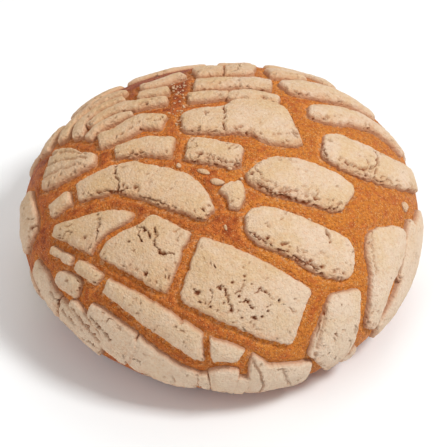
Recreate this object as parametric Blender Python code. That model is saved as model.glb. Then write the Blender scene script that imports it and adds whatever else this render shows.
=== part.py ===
"""A concha: a domed sweet bun under a shell of sugar paste.

The baker lays one round sheet of paste on the dough and scores it into curved ribs, like a scallop
shell. As the bun rises the sheet parts along the scores, and each rib breaks across into plates. The
bun is one solid, and each plate is one solid that lies on it.

Frame: metres, +Z up, origin at the middle of the flat base, the side with the large plates facing -Y.
Sizes below are in millimetres. Places on the crust are given as they would be on the flat sheet: p to
the right and q to the back, both measured along the crust from the top of the dome.
"""

import math
from typing import NamedTuple

import bmesh
import bpy
import numpy as np

MM = 0.001

# The bun
BUN_RADIUS = 56.2
BUN_HEIGHT = 51.2
GIRTH_HEIGHT = 18.0  # height of the widest ring
UNDERSIDE_DEPTH = 24.0  # how far below the girth the side would curl, if the tray did not cut it off flat
DOME_POWER = 2.15  # 2 is an ellipse, and more is squarer
UNDERSIDE_POWER = 2.3
OUTLINE_WAVES = ((2, 0.004, 20.0), (3, 0.014, 135.0))  # count round the outline, share of the radius, degrees
BACK_DIP = 0.035  # how much lower the dome is towards its back, as a share of the height
BACK_DIP_DEGREES = 112.0
BUN_RINGS = 22
BUN_SIDES = 72
PROFILE_STEPS = 600  # this and the next three only set how finely the curves are measured
CURVE_STEPS = 40
TANGENT_STEP = 0.2
NORMAL_STEP = 0.5

# The shell
PLATE_THICKNESS = 2.5
PLATE_CROWN = 0.35  # how much higher a wide plate is at its middle
SEAT_GAP = 0.3  # between a plate and the crust under it
CORNER_RADIUS = 2.6
ROUNDEST = 0.97  # the largest corner, as a share of half the plate's width
SHOULDER_INSET = 0.45
TOP_INSET = 1.5
STEEPEST_TOP_INSET = 0.6  # as a share of half the plate's width
SHOULDER_HEIGHT = 0.72  # share of the thickness
EDGE_WOBBLE = 0.35  # how far a plate's edge wanders in and out
EDGE_WAVES = 5  # round a plate
SIDE_LENGTH = 4.4  # of the facets round a plate
WIDE_PLATE = 9.0  # plates wider than this get one more ring of facets
SHORTEST_QUARTER = 3  # facets round a quarter of a plate, at least
LONGEST_QUARTER = 7
HAIRLINE = 0.5  # a crack that has hardly opened
FOLD_MERGE = 0.02  # points nearer than this are one, where a plate's middle is folded flat

CRUST_COLOUR = (0.46, 0.19, 0.05, 1.0)
SHELL_COLOUR = (0.75, 0.56, 0.37, 1.0)


class Rib(NamedTuple):
    """A rib of the shell, before it breaks into plates.

    path: (p, q, width) of points along its middle.
    breaks: (place, gap, lean) of each break across it, where place counts the path's points from 0, and
    lean is how many degrees the break's left side is ahead.
    ends: the leans of the rib's own two ends.
    """

    name: str
    path: tuple
    breaks: tuple = ()
    ends: tuple = (0.0, 0.0)


FRONT_RIBS = (
    Rib("heart", ((-50.8, -21.3, 3.2), (-44.4, -24.1, 7.4), (-37.5, -26.5, 12.4), (-29.4, -29.7, 16.8),
                  (-21.3, -34.9, 18.6), (-12.8, -40.5, 18.9), (0, -45.8, 20.4), (11.8, -50.6, 19.8),
                  (23.7, -53.9, 16.9)), breaks=((2.9, 2.2, 30), (5.18, 2.3, -2))),
    Rib("crescent", ((-51.2, -14.7, 5.6), (-43.4, -13.2, 6.6), (-34.5, -12.2, 9.8), (-26.6, -12.4, 12),
                     (-18.7, -16.2, 13.2), (-10.8, -20.7, 12.8), (-3, -28, 5.2)), breaks=((1.1, 1.4, 0),)),
    Rib("brow", ((-30.6, -2.3, 4.6), (-21.7, -2, 8.4), (-12.8, -3.7, 9.2), (-2, -6.3, 10.4),
                 (5.9, -8.1, 8.8)), breaks=((2.1, 2.6, 0),)),
    Rib("wedge", ((1.4, -17, 8.2), (3.5, -21.1, 6.6), (3.2, -26, 3))),
    Rib("shoulder", ((8.3, -10.9, 9.8), (14.2, -13.1, 14), (25, -15, 15.6), (36.4, -18, 12.3)),
        ends=(22, 14)),
    Rib("cheek", ((5.6, -30, 8.3), (11, -30, 12.6), (19.9, -32.3, 13.4), (29.8, -35.2, 14.8),
                  (38.9, -35.3, 10.3))),
    Rib("jowl", ((36.3, -43.7, 10.9), (36.5, -52, 15.9), (36.9, -59.8, 19), (35, -67.7, 16.4)),
        ends=(-22, 10)),
    Rib("chin", ((-52.2, -26.2, 3), (-45.6, -32.9, 3.6), (-39.8, -38, 4.6), (-35.2, -43, 4.6),
                 (-28.6, -48.3, 6.4), (-19.7, -54.8, 8.2), (-10.8, -60.8, 9), (-4.9, -63.9, 8.6),
                 (1.5, -64.9, 6.4), (6.4, -65.8, 4.2)),
        breaks=((1.2, 1.4, 0), (2.9, 1.4, 0), (7.0, 1.3, -20)), ends=(0, 25)),
    Rib("collar", ((8.2, -72.6, 17), (14.5, -74.6, 15), (23.7, -73.9, 14), (33.2, -70.6, 11.4)),
        ends=(-16, 0)),
    Rib("bib", ((-5.1, -75.9, 10.5), (0.5, -75.7, 12.6), (6.9, -76.3, 12)), ends=(0, -14)),
    Rib("hem", ((-42.4, -47.5, 4.2), (-38.1, -53.2, 8.4), (-32.5, -61.1, 13), (-25.6, -67.4, 13),
                (-16.8, -72.8, 10.4), (-7.7, -75.4, 7.6)), breaks=((2.3, HAIRLINE, 0),)),
    Rib("cuff", ((-52.5, -34.3, 3.6), (-48.8, -37.7, 6.4), (-44, -42.4, 6.2))),
    Rib("fringe", ((-63.1, -24.6, 6), (-61.1, -32.5, 10), (-58.4, -39.7, 9.6), (-53, -48.4, 8.8),
                   (-44.2, -61.4, 8)), breaks=((2.4, HAIRLINE, 0),)),
    Rib("heel", ((-62.6, 1.6, 7), (-63.1, -6.2, 11.5), (-63.1, -12.6, 14.6), (-61.8, -18.4, 11))),
)

TOP_RIBS = (
    Rib("crown", ((-11.8, 6, 9.2), (-4.5, 6.9, 11.8), (2.4, 7.1, 13.4), (9, 8, 20), (15.4, 7.7, 19.2),
                  (20.8, 6.4, 15.6)), ends=(0, -33)),
    Rib("tiara", ((-10.6, 18.4, 5.8), (-3.9, 19, 5.6), (2.6, 19.6, 4))),
    Rib("comb", ((-8.9, 26.1, 7.6), (0, 26.7, 8.4), (7.9, 26.6, 8), (14.8, 25.7, 7.8)), ends=(6, -6)),
    Rib("crest", ((-9.1, 36.3, 8), (-3.9, 37.5, 10.2), (1, 37, 9.2), (6.4, 38.3, 11.6), (10.3, 37.9, 9.6)),
        breaks=((1.9, HAIRLINE, 0),)),
    Rib("temple", ((-35.3, 4, 7.4), (-28.6, 5.7, 7.8), (-22.7, 8.8, 7.8), (-15.6, 7.1, 6.6))),
    Rib("lash", ((-38.5, 6.6, 4), (-35.1, 10.7, 4.4), (-30.1, 12.8, 4.4), (-25, 13.7, 2))),
    Rib("lock", ((-38.4, 13.3, 3.6), (-34.7, 16.9, 5), (-29.6, 18.6, 6), (-22.7, 18, 5.6), (-15.2, 17.9, 5))),
    Rib("braid", ((-41.6, 9.3, 4.6), (-41.4, 16.6, 5), (-36.9, 22.1, 4.6), (-28.2, 24.3, 4))),
    Rib("step", ((-25.2, 23.9, 4.6), (-20.2, 23.9, 5), (-15, 24.1, 5))),
    Rib("ledge", ((-25, 29.4, 5.4), (-19.4, 30.4, 5.8), (-15, 33.6, 5.8), (-11.2, 35.8, 5.4))),
    Rib("plume", ((-46.9, 12.3, 4.6), (-46.3, 18.7, 5), (-41, 26.2, 5.6), (-34.5, 29.2, 5.6),
                  (-27.8, 29, 3.6))),
    Rib("ear", ((-35.1, -2.6, 4), (-41, -1.7, 9.4), (-47.4, 0.8, 15.6), (-52.6, 3.2, 16)), ends=(0, -8)),
    Rib("lobe", ((-55.3, 13.6, 7), (-52.8, 19, 5.4), (-48.6, 24.8, 4.4))),
    Rib("nape", ((27.8, 0, 9.6), (33.5, -0.1, 14.6), (41.4, -0.7, 15.2), (49.3, 0.1, 13.2), (57, 4.5, 10.2),
                 (63.4, 9.6, 8.6))),
    Rib("sweep", ((23.9, 14.8, 6.6), (29.6, 15, 9.4), (37.5, 18, 9.8), (45, 19.2, 7.6), (51.6, 18.2, 6),
                  (57.8, 16, 5))),
    Rib("bonnet", ((17.2, 25.6, 8.4), (23.7, 27.2, 11.4), (31.6, 29, 11), (39.4, 29, 8.6),
                   (47.4, 27.2, 6.6)), ends=(-14, 0)),
    Rib("pompon", ((13, 36.1, 8.4), (18, 37.4, 9.4), (25.4, 38.7, 6.4))),
)

SIDE_RIBS = (
    Rib("sleeve", ((49.8, -19.5, 16.8), (50.3, -28, 18), (49.6, -35.9, 11.4), (50.2, -43.8, 9.4),
                   (51.8, -51.7, 7.4)), ends=(-26, 0)),
    Rib("flank", ((68.6, -0.6, 6), (69, -12, 14), (68.2, -22.7, 17.6), (65.6, -33, 13.6), (62.4, -43.4, 10),
                  (58.2, -51.4, 9))),
    Rib("tail", ((52, -59.2, 8), (48.4, -66.2, 8))),
)

# The back of the shell: rings of plates, as distance from the top, span in degrees from +X, width and plates.
BACK_RINGS = (
    ("back", 56.0, (50.0, 145.0), 10.6, 4),
    ("mantle", 69.2, (21.0, 165.0), 11.4, 5),
    ("train", 83.0, (-5.0, 203.0), 10.2, 6),
)
BACK_GAP = 2.4
BACK_WAVE = 0.7  # how far a ring wanders in and out
BACK_SQUEEZE = 0.08  # how much narrower it is where it is furthest out
BACK_SHIFT = 0.45  # how far its breaks are from even spacing, in points of its path
BACK_LEANS = (8.0, -14.0, 12.0, -6.0, 16.0)


def profile():
    """The bun's outline from the top down to the base: length along it, radius and height."""
    over = np.linspace(0.0, math.pi / 2, PROFILE_STEPS)
    last = math.asin((GIRTH_HEIGHT / UNDERSIDE_DEPTH) ** (UNDERSIDE_POWER / 2))
    under = np.linspace(0.0, last, PROFILE_STEPS)[1:]
    radius = np.concatenate((np.sin(over) ** (2 / DOME_POWER), np.cos(under) ** (2 / UNDERSIDE_POWER)))
    dome = GIRTH_HEIGHT + (BUN_HEIGHT - GIRTH_HEIGHT) * np.cos(over) ** (2 / DOME_POWER)
    underside = GIRTH_HEIGHT - UNDERSIDE_DEPTH * np.sin(under) ** (2 / UNDERSIDE_POWER)
    radius *= BUN_RADIUS
    height = np.concatenate((dome, underside))
    length = np.concatenate(((0.0,), np.cumsum(np.hypot(np.diff(radius), np.diff(height)))))
    return length, radius, height


PROFILE_LENGTH, PROFILE_RADIUS, PROFILE_HEIGHT = profile()
SHEET_RADIUS = PROFILE_LENGTH[-1]


def crust_point(p, q):
    """The crust at sheet place (p, q)."""
    distance = np.hypot(p, q)
    angle = np.arctan2(q, p)
    waves = (share * np.cos(count * angle - math.radians(turn)) for count, share, turn in OUTLINE_WAVES)
    swell = 1.0 + sum(waves)
    radius = np.interp(distance, PROFILE_LENGTH, PROFILE_RADIUS) * swell
    backward = np.clip(np.cos(angle - math.radians(BACK_DIP_DEGREES)), 0, None) * radius / BUN_RADIUS
    height = np.interp(distance, PROFILE_LENGTH, PROFILE_HEIGHT) * (1 - BACK_DIP * backward ** 2)
    return np.stack((radius * np.cos(angle), radius * np.sin(angle), height), axis=-1)


def lifted_point(p, q, lift):
    """The place that is lift above the crust at (p, q), along the crust's normal."""
    along_p = crust_point(p + NORMAL_STEP, q) - crust_point(p - NORMAL_STEP, q)
    along_q = crust_point(p, q + NORMAL_STEP) - crust_point(p, q - NORMAL_STEP)
    normal = np.cross(along_p, along_q)
    normal /= np.linalg.norm(normal, axis=-1, keepdims=True)
    return crust_point(p, q) + normal * np.asarray(lift)[..., None]


def curve_through(points, place):
    """A Catmull-Rom curve through the points, at place counted in points. It runs on straight past them."""
    points = np.asarray(points, float)
    first, last = points[0] - points[1], points[-1] - points[-2]
    before_all = (points[0] + 2 * first, points[0] + first)
    after_all = (points[-1] + last, points[-1] + 2 * last)
    padded = np.vstack((*before_all, points, *after_all))
    span = np.clip(np.floor(place).astype(int), -1, len(points) - 1)
    t = (place - span)[..., None]
    before, start, end, after = (padded[span + k] for k in range(1, 5))
    bend = 2 * before - 5 * start + 4 * end - after
    twist = 3 * start - before - 3 * end + after
    return start + 0.5 * t * (end - before + t * (bend + t * twist))


class RibCurve:
    """A rib's middle line, measured along its length in millimetres."""

    def __init__(self, path):
        self.path = path
        self.places = np.linspace(-1.0, len(path), CURVE_STEPS * (len(path) + 1) + 1)
        line = curve_through(path, self.places)[:, :2]
        lengths = np.concatenate(((0.0,), np.cumsum(np.linalg.norm(np.diff(line, axis=0), axis=1))))
        self.lengths = lengths - np.interp(0.0, self.places, lengths)

    def length_at(self, place):
        """How far along the rib the place is."""
        return float(np.interp(place, self.places, self.lengths))

    def at(self, length):
        """The (p, q, width) there."""
        return curve_through(self.path, np.interp(length, self.lengths, self.places))

    def sheet_place(self, length, across):
        """The sheet place (p, q) that is across the middle line, to its left, at this length."""
        ahead = self.at(length + TANGENT_STEP)[..., :2] - self.at(length - TANGENT_STEP)[..., :2]
        ahead /= np.linalg.norm(ahead, axis=-1, keepdims=True)
        middle = self.at(length)
        return middle[..., 0] - ahead[..., 1] * across, middle[..., 1] + ahead[..., 0] * across


def rounded_outline(half_length, half_width):
    """A rectangle with round corners, as evenly spaced points, and each one's nearest place on the spine."""
    corner = ROUNDEST * min(CORNER_RADIUS, half_length, half_width)
    sides = (half_width - corner, corner * math.pi / 2, half_length - corner)
    quarter = int(np.clip(round(sum(sides) / SIDE_LENGTH), SHORTEST_QUARTER, LONGEST_QUARTER))
    run = np.linspace(0.0, sum(sides), quarter + 1)
    turn = np.clip((run - sides[0]) / corner, 0.0, math.pi / 2)
    x = half_length - corner + corner * np.cos(turn) - np.clip(run - sides[0] - sides[1], 0.0, None)
    y = np.clip(run, 0.0, sides[0]) + corner * np.sin(turn)
    x, y = np.concatenate((x, -x[-2::-1])), np.concatenate((y, y[-2::-1]))
    x, y = np.concatenate((x, x[-2:0:-1])), np.concatenate((y, -y[-2:0:-1]))
    reach = min(half_length, half_width)
    spine_x = np.clip(x, reach - half_length, half_length - reach)
    spine_y = np.clip(y, reach - half_width, half_width - reach)
    return x, y, spine_x, spine_y, reach


def plate_mesh(curve, start, end, leans):
    """One plate: the rib from start to end, with a flat seat, steep sides and a rounded top."""
    half_length = (end - start) / 2
    half_width = float(curve.at(np.linspace(start, end, 9))[:, 2].mean()) / 2
    x, y, spine_x, spine_y, reach = rounded_outline(half_length, half_width)
    crown = PLATE_THICKNESS + PLATE_CROWN * min(1.0, reach / (WIDE_PLATE / 2))
    top_inset = min(TOP_INSET / reach, STEEPEST_TOP_INSET)
    rings = [(1.0, 0.0), (0.0, 0.0), (SHOULDER_INSET / reach, SHOULDER_HEIGHT * PLATE_THICKNESS),
             (top_inset, PLATE_THICKNESS), (1.0, crown)]
    if 2 * reach > WIDE_PLATE:
        rings.insert(1, (0.5, 0.0))
        rings.insert(-1, ((1.0 + top_inset) / 2, crown))
    around = np.linspace(0.0, 2 * math.pi, len(x), endpoint=False)
    wobble = EDGE_WOBBLE / reach * np.sin(EDGE_WAVES * around + start) ** 2
    loops = []
    for ring_inset, height in rings:
        inset = ring_inset + (1 - ring_inset) * wobble
        u = (x + (spine_x - x) * inset) / half_length
        v = (y + (spine_y - y) * inset) / half_width
        lean_start, lean_end = (math.tan(math.radians(lean)) for lean in leans)
        share = (u + 1) / 2
        length = start + (end - start) * share
        across = v * curve.at(length)[:, 2] / 2
        length = length + across * (lean_start * (1 - share) + lean_end * share)
        p, q = curve.sheet_place(length, across)
        loops.append(lifted_point(p, q, np.full(len(p), SEAT_GAP + height)))
    return lofted(loops)


def lofted(loops):
    """A closed mesh of rings of points. The first and last ring are folded flat and close it."""
    count = len(loops[0])
    mesh = bmesh.new()
    rows = [[mesh.verts.new(point * MM) for point in loop] for loop in loops]
    for low, high in zip(rows, rows[1:]):
        for k in range(count):
            mesh.faces.new((low[k], low[(k + 1) % count], high[(k + 1) % count], high[k]))
    bmesh.ops.remove_doubles(mesh, verts=mesh.verts, dist=FOLD_MERGE * MM)
    return mesh


def bun_mesh():
    """The bun: rings of points down the profile, closed at the top by a point and below by the flat base."""
    mesh = bmesh.new()
    turn = np.linspace(0.0, 2 * math.pi, BUN_SIDES, endpoint=False)
    distances = np.linspace(0.0, SHEET_RADIUS, BUN_RINGS + 1)[1:]
    top = mesh.verts.new((0.0, 0.0, BUN_HEIGHT * MM))
    rows = [[mesh.verts.new(point * MM) for point in crust_point(d * np.cos(turn), d * np.sin(turn))]
            for d in distances]
    for k in range(BUN_SIDES):
        after = (k + 1) % BUN_SIDES
        mesh.faces.new((top, rows[0][k], rows[0][after]))
        for high, low in zip(rows, rows[1:]):
            mesh.faces.new((high[k], low[k], low[after], high[after]))
    mesh.faces.new(rows[-1][::-1])
    return mesh


def back_rib(name, distance, span, width, plates):
    """A rib that runs round the back of the dome, broken into plates of uneven length."""
    steps = 2 * plates
    path = []
    for k in range(steps + 1):
        angle = math.radians(span[0] + (span[1] - span[0]) * k / steps)
        wave = math.sin(2.3 * k + distance)
        reach = distance + BACK_WAVE * wave
        path.append((reach * math.cos(angle), reach * math.sin(angle), width * (1 - BACK_SQUEEZE * wave)))
    breaks = []
    for k in range(1, plates):
        place = 2 * k + BACK_SHIFT * math.sin(3.1 * k + distance)
        breaks.append((place, BACK_GAP, BACK_LEANS[k % len(BACK_LEANS)]))
    return Rib(name, tuple(path), tuple(breaks))


def material(name, colour, roughness):
    """A plain surface of one colour."""
    made = bpy.data.materials.new(name)
    made.use_nodes = True
    shader = made.node_tree.nodes["Principled BSDF"]
    shader.inputs["Base Color"].default_value = colour
    shader.inputs["Roughness"].default_value = roughness
    return made


def add_object(name, mesh, surface, sharp_degrees):
    """The mesh as a named object."""
    data = bpy.data.meshes.new(name)
    mesh.to_mesh(data)
    mesh.free()
    data.materials.append(surface)
    data.shade_smooth()
    data.set_sharp_from_angle(angle=math.radians(sharp_degrees))
    made = bpy.data.objects.new(name, data)
    bpy.context.scene.collection.objects.link(made)
    return made


def add_rib(rib, surface):
    """Each plate of the rib, named after it and counted from its start."""
    curve = RibCurve(rib.path)
    edges = [(0.0, rib.ends[0])]
    for place, gap, lean in rib.breaks:
        middle = curve.length_at(place)
        edges += [(middle - gap / 2, lean), (middle + gap / 2, lean)]
    edges.append((curve.length_at(len(rib.path) - 1), rib.ends[1]))
    for k in range(0, len(edges), 2):
        (start, lean_start), (end, lean_end) = edges[k], edges[k + 1]
        mesh = plate_mesh(curve, start, end, (lean_start, lean_end))
        add_object(f"{rib.name}_{k // 2 + 1}", mesh, surface, 50)


def main():
    for old in list(bpy.data.objects):
        bpy.data.objects.remove(old)
    crust = material("crust", CRUST_COLOUR, 0.5)
    shell = material("shell", SHELL_COLOUR, 0.9)
    add_object("bun", bun_mesh(), crust, 30)
    for rib in FRONT_RIBS + TOP_RIBS + SIDE_RIBS:
        add_rib(rib, shell)
    for ring in BACK_RINGS:
        add_rib(back_rib(*ring), shell)


main()
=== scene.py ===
"""The looks of a concha: a browned bun under a baked sugar shell that has broken into plates.

Sizes are in millimetres unless a name says otherwise, and become metres where a mesh is written. Places on
the dome are sheet places: p to the right and q to the back, both measured along the crust from the top, as
they would lie on the flat sheet of paste before it was laid on the bun.
"""

import logging
import math
from abc import ABC, abstractmethod
from dataclasses import dataclass, field, replace
from enum import Enum
from typing import Iterator, Sequence

import bpy
import numpy as np
from mathutils import Matrix, Vector


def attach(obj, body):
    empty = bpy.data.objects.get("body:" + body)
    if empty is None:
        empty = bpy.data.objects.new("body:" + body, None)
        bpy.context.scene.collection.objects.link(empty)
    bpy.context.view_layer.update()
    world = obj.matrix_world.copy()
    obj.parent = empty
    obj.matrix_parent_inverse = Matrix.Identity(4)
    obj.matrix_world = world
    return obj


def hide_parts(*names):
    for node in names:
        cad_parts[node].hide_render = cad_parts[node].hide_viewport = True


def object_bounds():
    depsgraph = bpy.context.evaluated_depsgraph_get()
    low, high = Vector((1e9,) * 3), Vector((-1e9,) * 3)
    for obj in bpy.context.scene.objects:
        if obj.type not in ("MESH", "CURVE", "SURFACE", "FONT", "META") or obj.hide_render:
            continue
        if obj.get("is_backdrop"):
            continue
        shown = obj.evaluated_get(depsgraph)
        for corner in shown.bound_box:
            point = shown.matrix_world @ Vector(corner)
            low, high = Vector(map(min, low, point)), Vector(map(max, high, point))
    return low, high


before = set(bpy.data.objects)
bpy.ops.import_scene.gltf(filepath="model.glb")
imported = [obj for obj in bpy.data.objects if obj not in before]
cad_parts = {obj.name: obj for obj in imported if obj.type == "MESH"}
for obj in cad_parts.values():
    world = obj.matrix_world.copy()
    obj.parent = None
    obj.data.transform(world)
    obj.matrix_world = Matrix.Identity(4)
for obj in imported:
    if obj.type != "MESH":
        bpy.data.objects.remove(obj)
CAD_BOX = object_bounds()

MM = 0.001
ROOT_BODY = "root"
SEED = 41
PALE_SIDE, BROWN_SIDE = 34.0, -22.0  # where along X the colour is palest and darkest: painted shade, deepest on the left, away from the key light

LOG = logging.getLogger("concha")
Array = np.ndarray


class Slot(Enum):
    """The record's material slots."""

    CRUST = "crust"
    SHELL = "shell"


class Cast(Enum):
    """Attributes that the meshes carry for their materials, each from 0 to 1."""

    PIT = "pit"  # how deep in a pore or a crack
    WALL = "wall"  # how far down a plate's side
    TORN = "torn"  # how crumbly the edge is
    NEAR = "near"  # how close bare crust is to a plate
    BAKE_AND_SHADE = "bake_and_shade"  # how dark it is: browner bake, and painted shade towards the left


# ---------------------------------------------------------------- shared arithmetic


def smoothstep(low: float, high: float, value: Array) -> Array:
    """A smooth ramp from 0 at low to 1 at high: 3t^2 - 2t^3 of the clipped share t.

    Args:
        low: where the ramp starts.
        high: where it ends, above or below low.
        value: the numbers to ramp.

    Returns:
        The ramped numbers, from 0 to 1.
    """
    t = np.clip((value - low) / (high - low), 0.0, 1.0)
    return t * t * (3.0 - 2.0 * t)


def linear_colour(code: str) -> tuple[float, float, float, float]:
    """A screen colour as the linear one that a material takes.

    Args:
        code: six hexadecimal digits, red first.

    Returns:
        Red, green, blue and an alpha of 1.
    """
    parts = [int(code[k:k + 2], 16) / 255 for k in (0, 2, 4)]
    red, green, blue = (c / 12.92 if c <= 0.04045 else ((c + 0.055) / 1.055) ** 2.4 for c in parts)
    return red, green, blue, 1.0


def leftward(points: Array) -> Array:
    """Painted shade on the side away from the key light: 0 on the right of the bun, rising smoothly to 1 on
    its left.
    """
    return smoothstep(PALE_SIDE, BROWN_SIDE, points[:, 0])


def unit(vectors: Array, least: float = 0.0) -> Array:
    """The vectors of the last axis at length 1, or near 0 where they are much shorter than least."""
    return vectors / (np.linalg.norm(vectors, axis=-1, keepdims=True) + least)


def on_floor(place: Array) -> Array:
    """Sheet places as places in space at height 0, where noise can be read."""
    return np.column_stack((place, np.zeros(len(place))))


@dataclass(frozen=True)
class Grain:
    """Seeded noise in space, for relief that follows the crumb and not the mesh."""

    seed: int
    table_size: int = 256
    gain: float = 1.6  # brings the waves to about -1 to 1
    octave_shift: float = 17.3
    seed_reach: float = 0.45

    def _tables(self) -> tuple[Array, Array]:
        """Draws the noise's own tables.

        Returns:
            A shuffled index table and a table of unit vectors.
        """
        rng = np.random.default_rng(self.seed)
        order = rng.permutation(self.table_size)
        ways = rng.normal(size=(self.table_size, 3))
        return order, unit(ways)

    def _hash(self, order: Array, cell: Array) -> Array:
        """Looks the shuffled table up three times, each time past the last answer.

        Args:
            order: the shuffled index table.
            cell: lattice cells, three whole numbers each.

        Returns:
            The table index of each cell.
        """
        size = self.table_size
        first = order[cell[..., 0] % size]
        second = order[(first + cell[..., 1]) % size]
        return order[(second + cell[..., 2]) % size]

    def waves(self, points: Array, size: float) -> Array:
        """Gradient noise: a random slope at each lattice corner, blended across by 6t^5 - 15t^4 + 10t^3.

        Args:
            points: places, one row each.
            size: the distance between lattice corners, in the points' own unit.

        Returns:
            About -1 to 1, one number a point.
        """
        order, ways = self._tables()
        place = points / size
        cell = np.floor(place).astype(np.int64)
        part = place - cell
        blend = part ** 3 * (part * (part * 6 - 15) + 10)
        total = np.zeros(len(points))
        for corner in np.ndindex(2, 2, 2):
            step = np.array(corner)
            slope = ways[self._hash(order, cell + step)]
            weight = np.prod(np.where(step == 1, blend, 1 - blend), axis=1)
            total += weight * np.einsum("ij,ij->i", slope, part - step)
        return total * self.gain

    def rough(self, points: Array, size: float, octaves: int = 3) -> Array:
        """Waves of halving size and height, added up.

        Args:
            points: places, one row each.
            size: the largest waves' size.
            octaves: how many sizes.

        Returns:
            About -1 to 1, one number a point.
        """
        total = sum(self.waves(points + self.octave_shift * k, size / 2 ** k) / 2 ** k
                    for k in range(octaves))
        return total / (2 - 2.0 ** (1 - octaves))

    def cells(self, points: Array, size: float) -> tuple[Array, Array]:
        """Scattered seeds, one at a random place in each lattice cell.

        Args:
            points: places, one row each.
            size: the cells' size.

        Returns:
            How far each point is from the nearest seed, as a share of size, and that seed's random number.
        """
        order, ways = self._tables()
        place = points / size
        home = np.floor(place).astype(np.int64)
        nearest = np.full(len(points), np.inf)
        number = np.zeros(len(points))
        for step in np.ndindex(3, 3, 3):
            cell = home + np.array(step) - 1
            index = self._hash(order, cell)
            seed = cell + 0.5 + self.seed_reach * ways[index]
            gap = np.linalg.norm(place - seed, axis=1)
            closer = gap < nearest
            nearest = np.where(closer, gap, nearest)
            number = np.where(closer, index / self.table_size, number)
        return nearest, number


GRAIN = Grain(SEED)


@dataclass(frozen=True)
class Noise:
    """One use of the grain: its waves' size, its shift in space, its count of octaves and its height."""

    size: float
    shift: float = 0.0
    octaves: int = 1
    height: float = 1.0

    def at(self, points: Array) -> Array:
        """The noise at each point, from about minus its height to its height."""
        return self.height * GRAIN.rough(points + self.shift, self.size, self.octaves)


# ---------------------------------------------------------------- the dome


@dataclass(frozen=True)
class Dome:
    """The bun's own form, which the crust follows and the plates lie on."""

    radius: float = 56.2
    height: float = 51.2
    girth_height: float = 18.0
    underside_depth: float = 24.0
    dome_power: float = 2.15
    underside_power: float = 2.3
    outline_waves: tuple = ((2, 0.004, 20.0), (3, 0.014, 135.0))
    back_dip: float = 0.035
    back_dip_degrees: float = 112.0
    profile_steps: int = 600
    normal_step: float = 0.5

    def profile(self) -> tuple[Array, Array, Array]:
        """The outline from the top down: a superellipse over the girth, and a deeper one, cut flat, under it.

        Returns:
            Length along the outline, radius and height, at each step.
        """
        over = np.linspace(0.0, math.pi / 2, self.profile_steps)
        last = math.asin((self.girth_height / self.underside_depth) ** (self.underside_power / 2))
        under = np.linspace(0.0, last, self.profile_steps)[1:]
        above, below = 2 / self.dome_power, 2 / self.underside_power
        radius = self.radius * np.concatenate((np.sin(over) ** above, np.cos(under) ** below))
        upper = self.girth_height + (self.height - self.girth_height) * np.cos(over) ** above
        lower = self.girth_height - self.underside_depth * np.sin(under) ** below
        height = np.concatenate((upper, lower))
        length = np.concatenate(((0.0,), np.cumsum(np.hypot(np.diff(radius), np.diff(height)))))
        return length, radius, height

    def sheet_radius(self) -> float:
        """How far the base's edge is from the top, along the crust."""
        return float(self.profile()[0][-1])

    def point(self, p: Array, q: Array) -> Array:
        """The crust at a sheet place: the outline turned about Z, swollen by waves, and lower at the back.

        Args:
            p: sheet places to the right.
            q: sheet places to the back.

        Returns:
            The places in space, in a last axis of 3.
        """
        length, radii, heights = self.profile()
        distance = np.hypot(p, q)
        angle = np.arctan2(q, p)
        waves = (share * np.cos(count * angle - math.radians(turn))
                 for count, share, turn in self.outline_waves)
        radius = np.interp(distance, length, radii) * (1.0 + sum(waves))
        facing = np.clip(np.cos(angle - math.radians(self.back_dip_degrees)), 0, None)
        backward = facing * radius / self.radius
        height = np.interp(distance, length, heights) * (1 - self.back_dip * backward ** 2)
        return np.stack((radius * np.cos(angle), radius * np.sin(angle), height), axis=-1)

    def normal(self, p: Array, q: Array) -> Array:
        """The crust's outward normal: the cross product of its slopes along p and q.

        Args:
            p: sheet places to the right.
            q: sheet places to the back.

        Returns:
            The unit normals, in a last axis of 3.
        """
        step = self.normal_step
        along_p = self.point(p + step, q) - self.point(p - step, q)
        along_q = self.point(p, q + step) - self.point(p, q - step)
        return unit(np.cross(along_p, along_q))


# ---------------------------------------------------------------- the ribs


@dataclass(frozen=True)
class Rib:
    """A rib of the shell, before it breaks into plates.

    path is (p, q, width) of points along its middle. breaks is (place, gap, lean) of each break across it,
    where place counts the path's points from 0, and lean is how many degrees the break's left side is ahead.
    ends is the leans of the rib's own two ends.
    """

    name: str
    path: tuple
    breaks: tuple = ()
    ends: tuple = (0.0, 0.0)


HAIRLINE = 0.5  # the gap of a crack that has hardly opened
HAIRLINE_LAP = 0.25  # how far its torn sides reach into it, from each side

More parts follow.
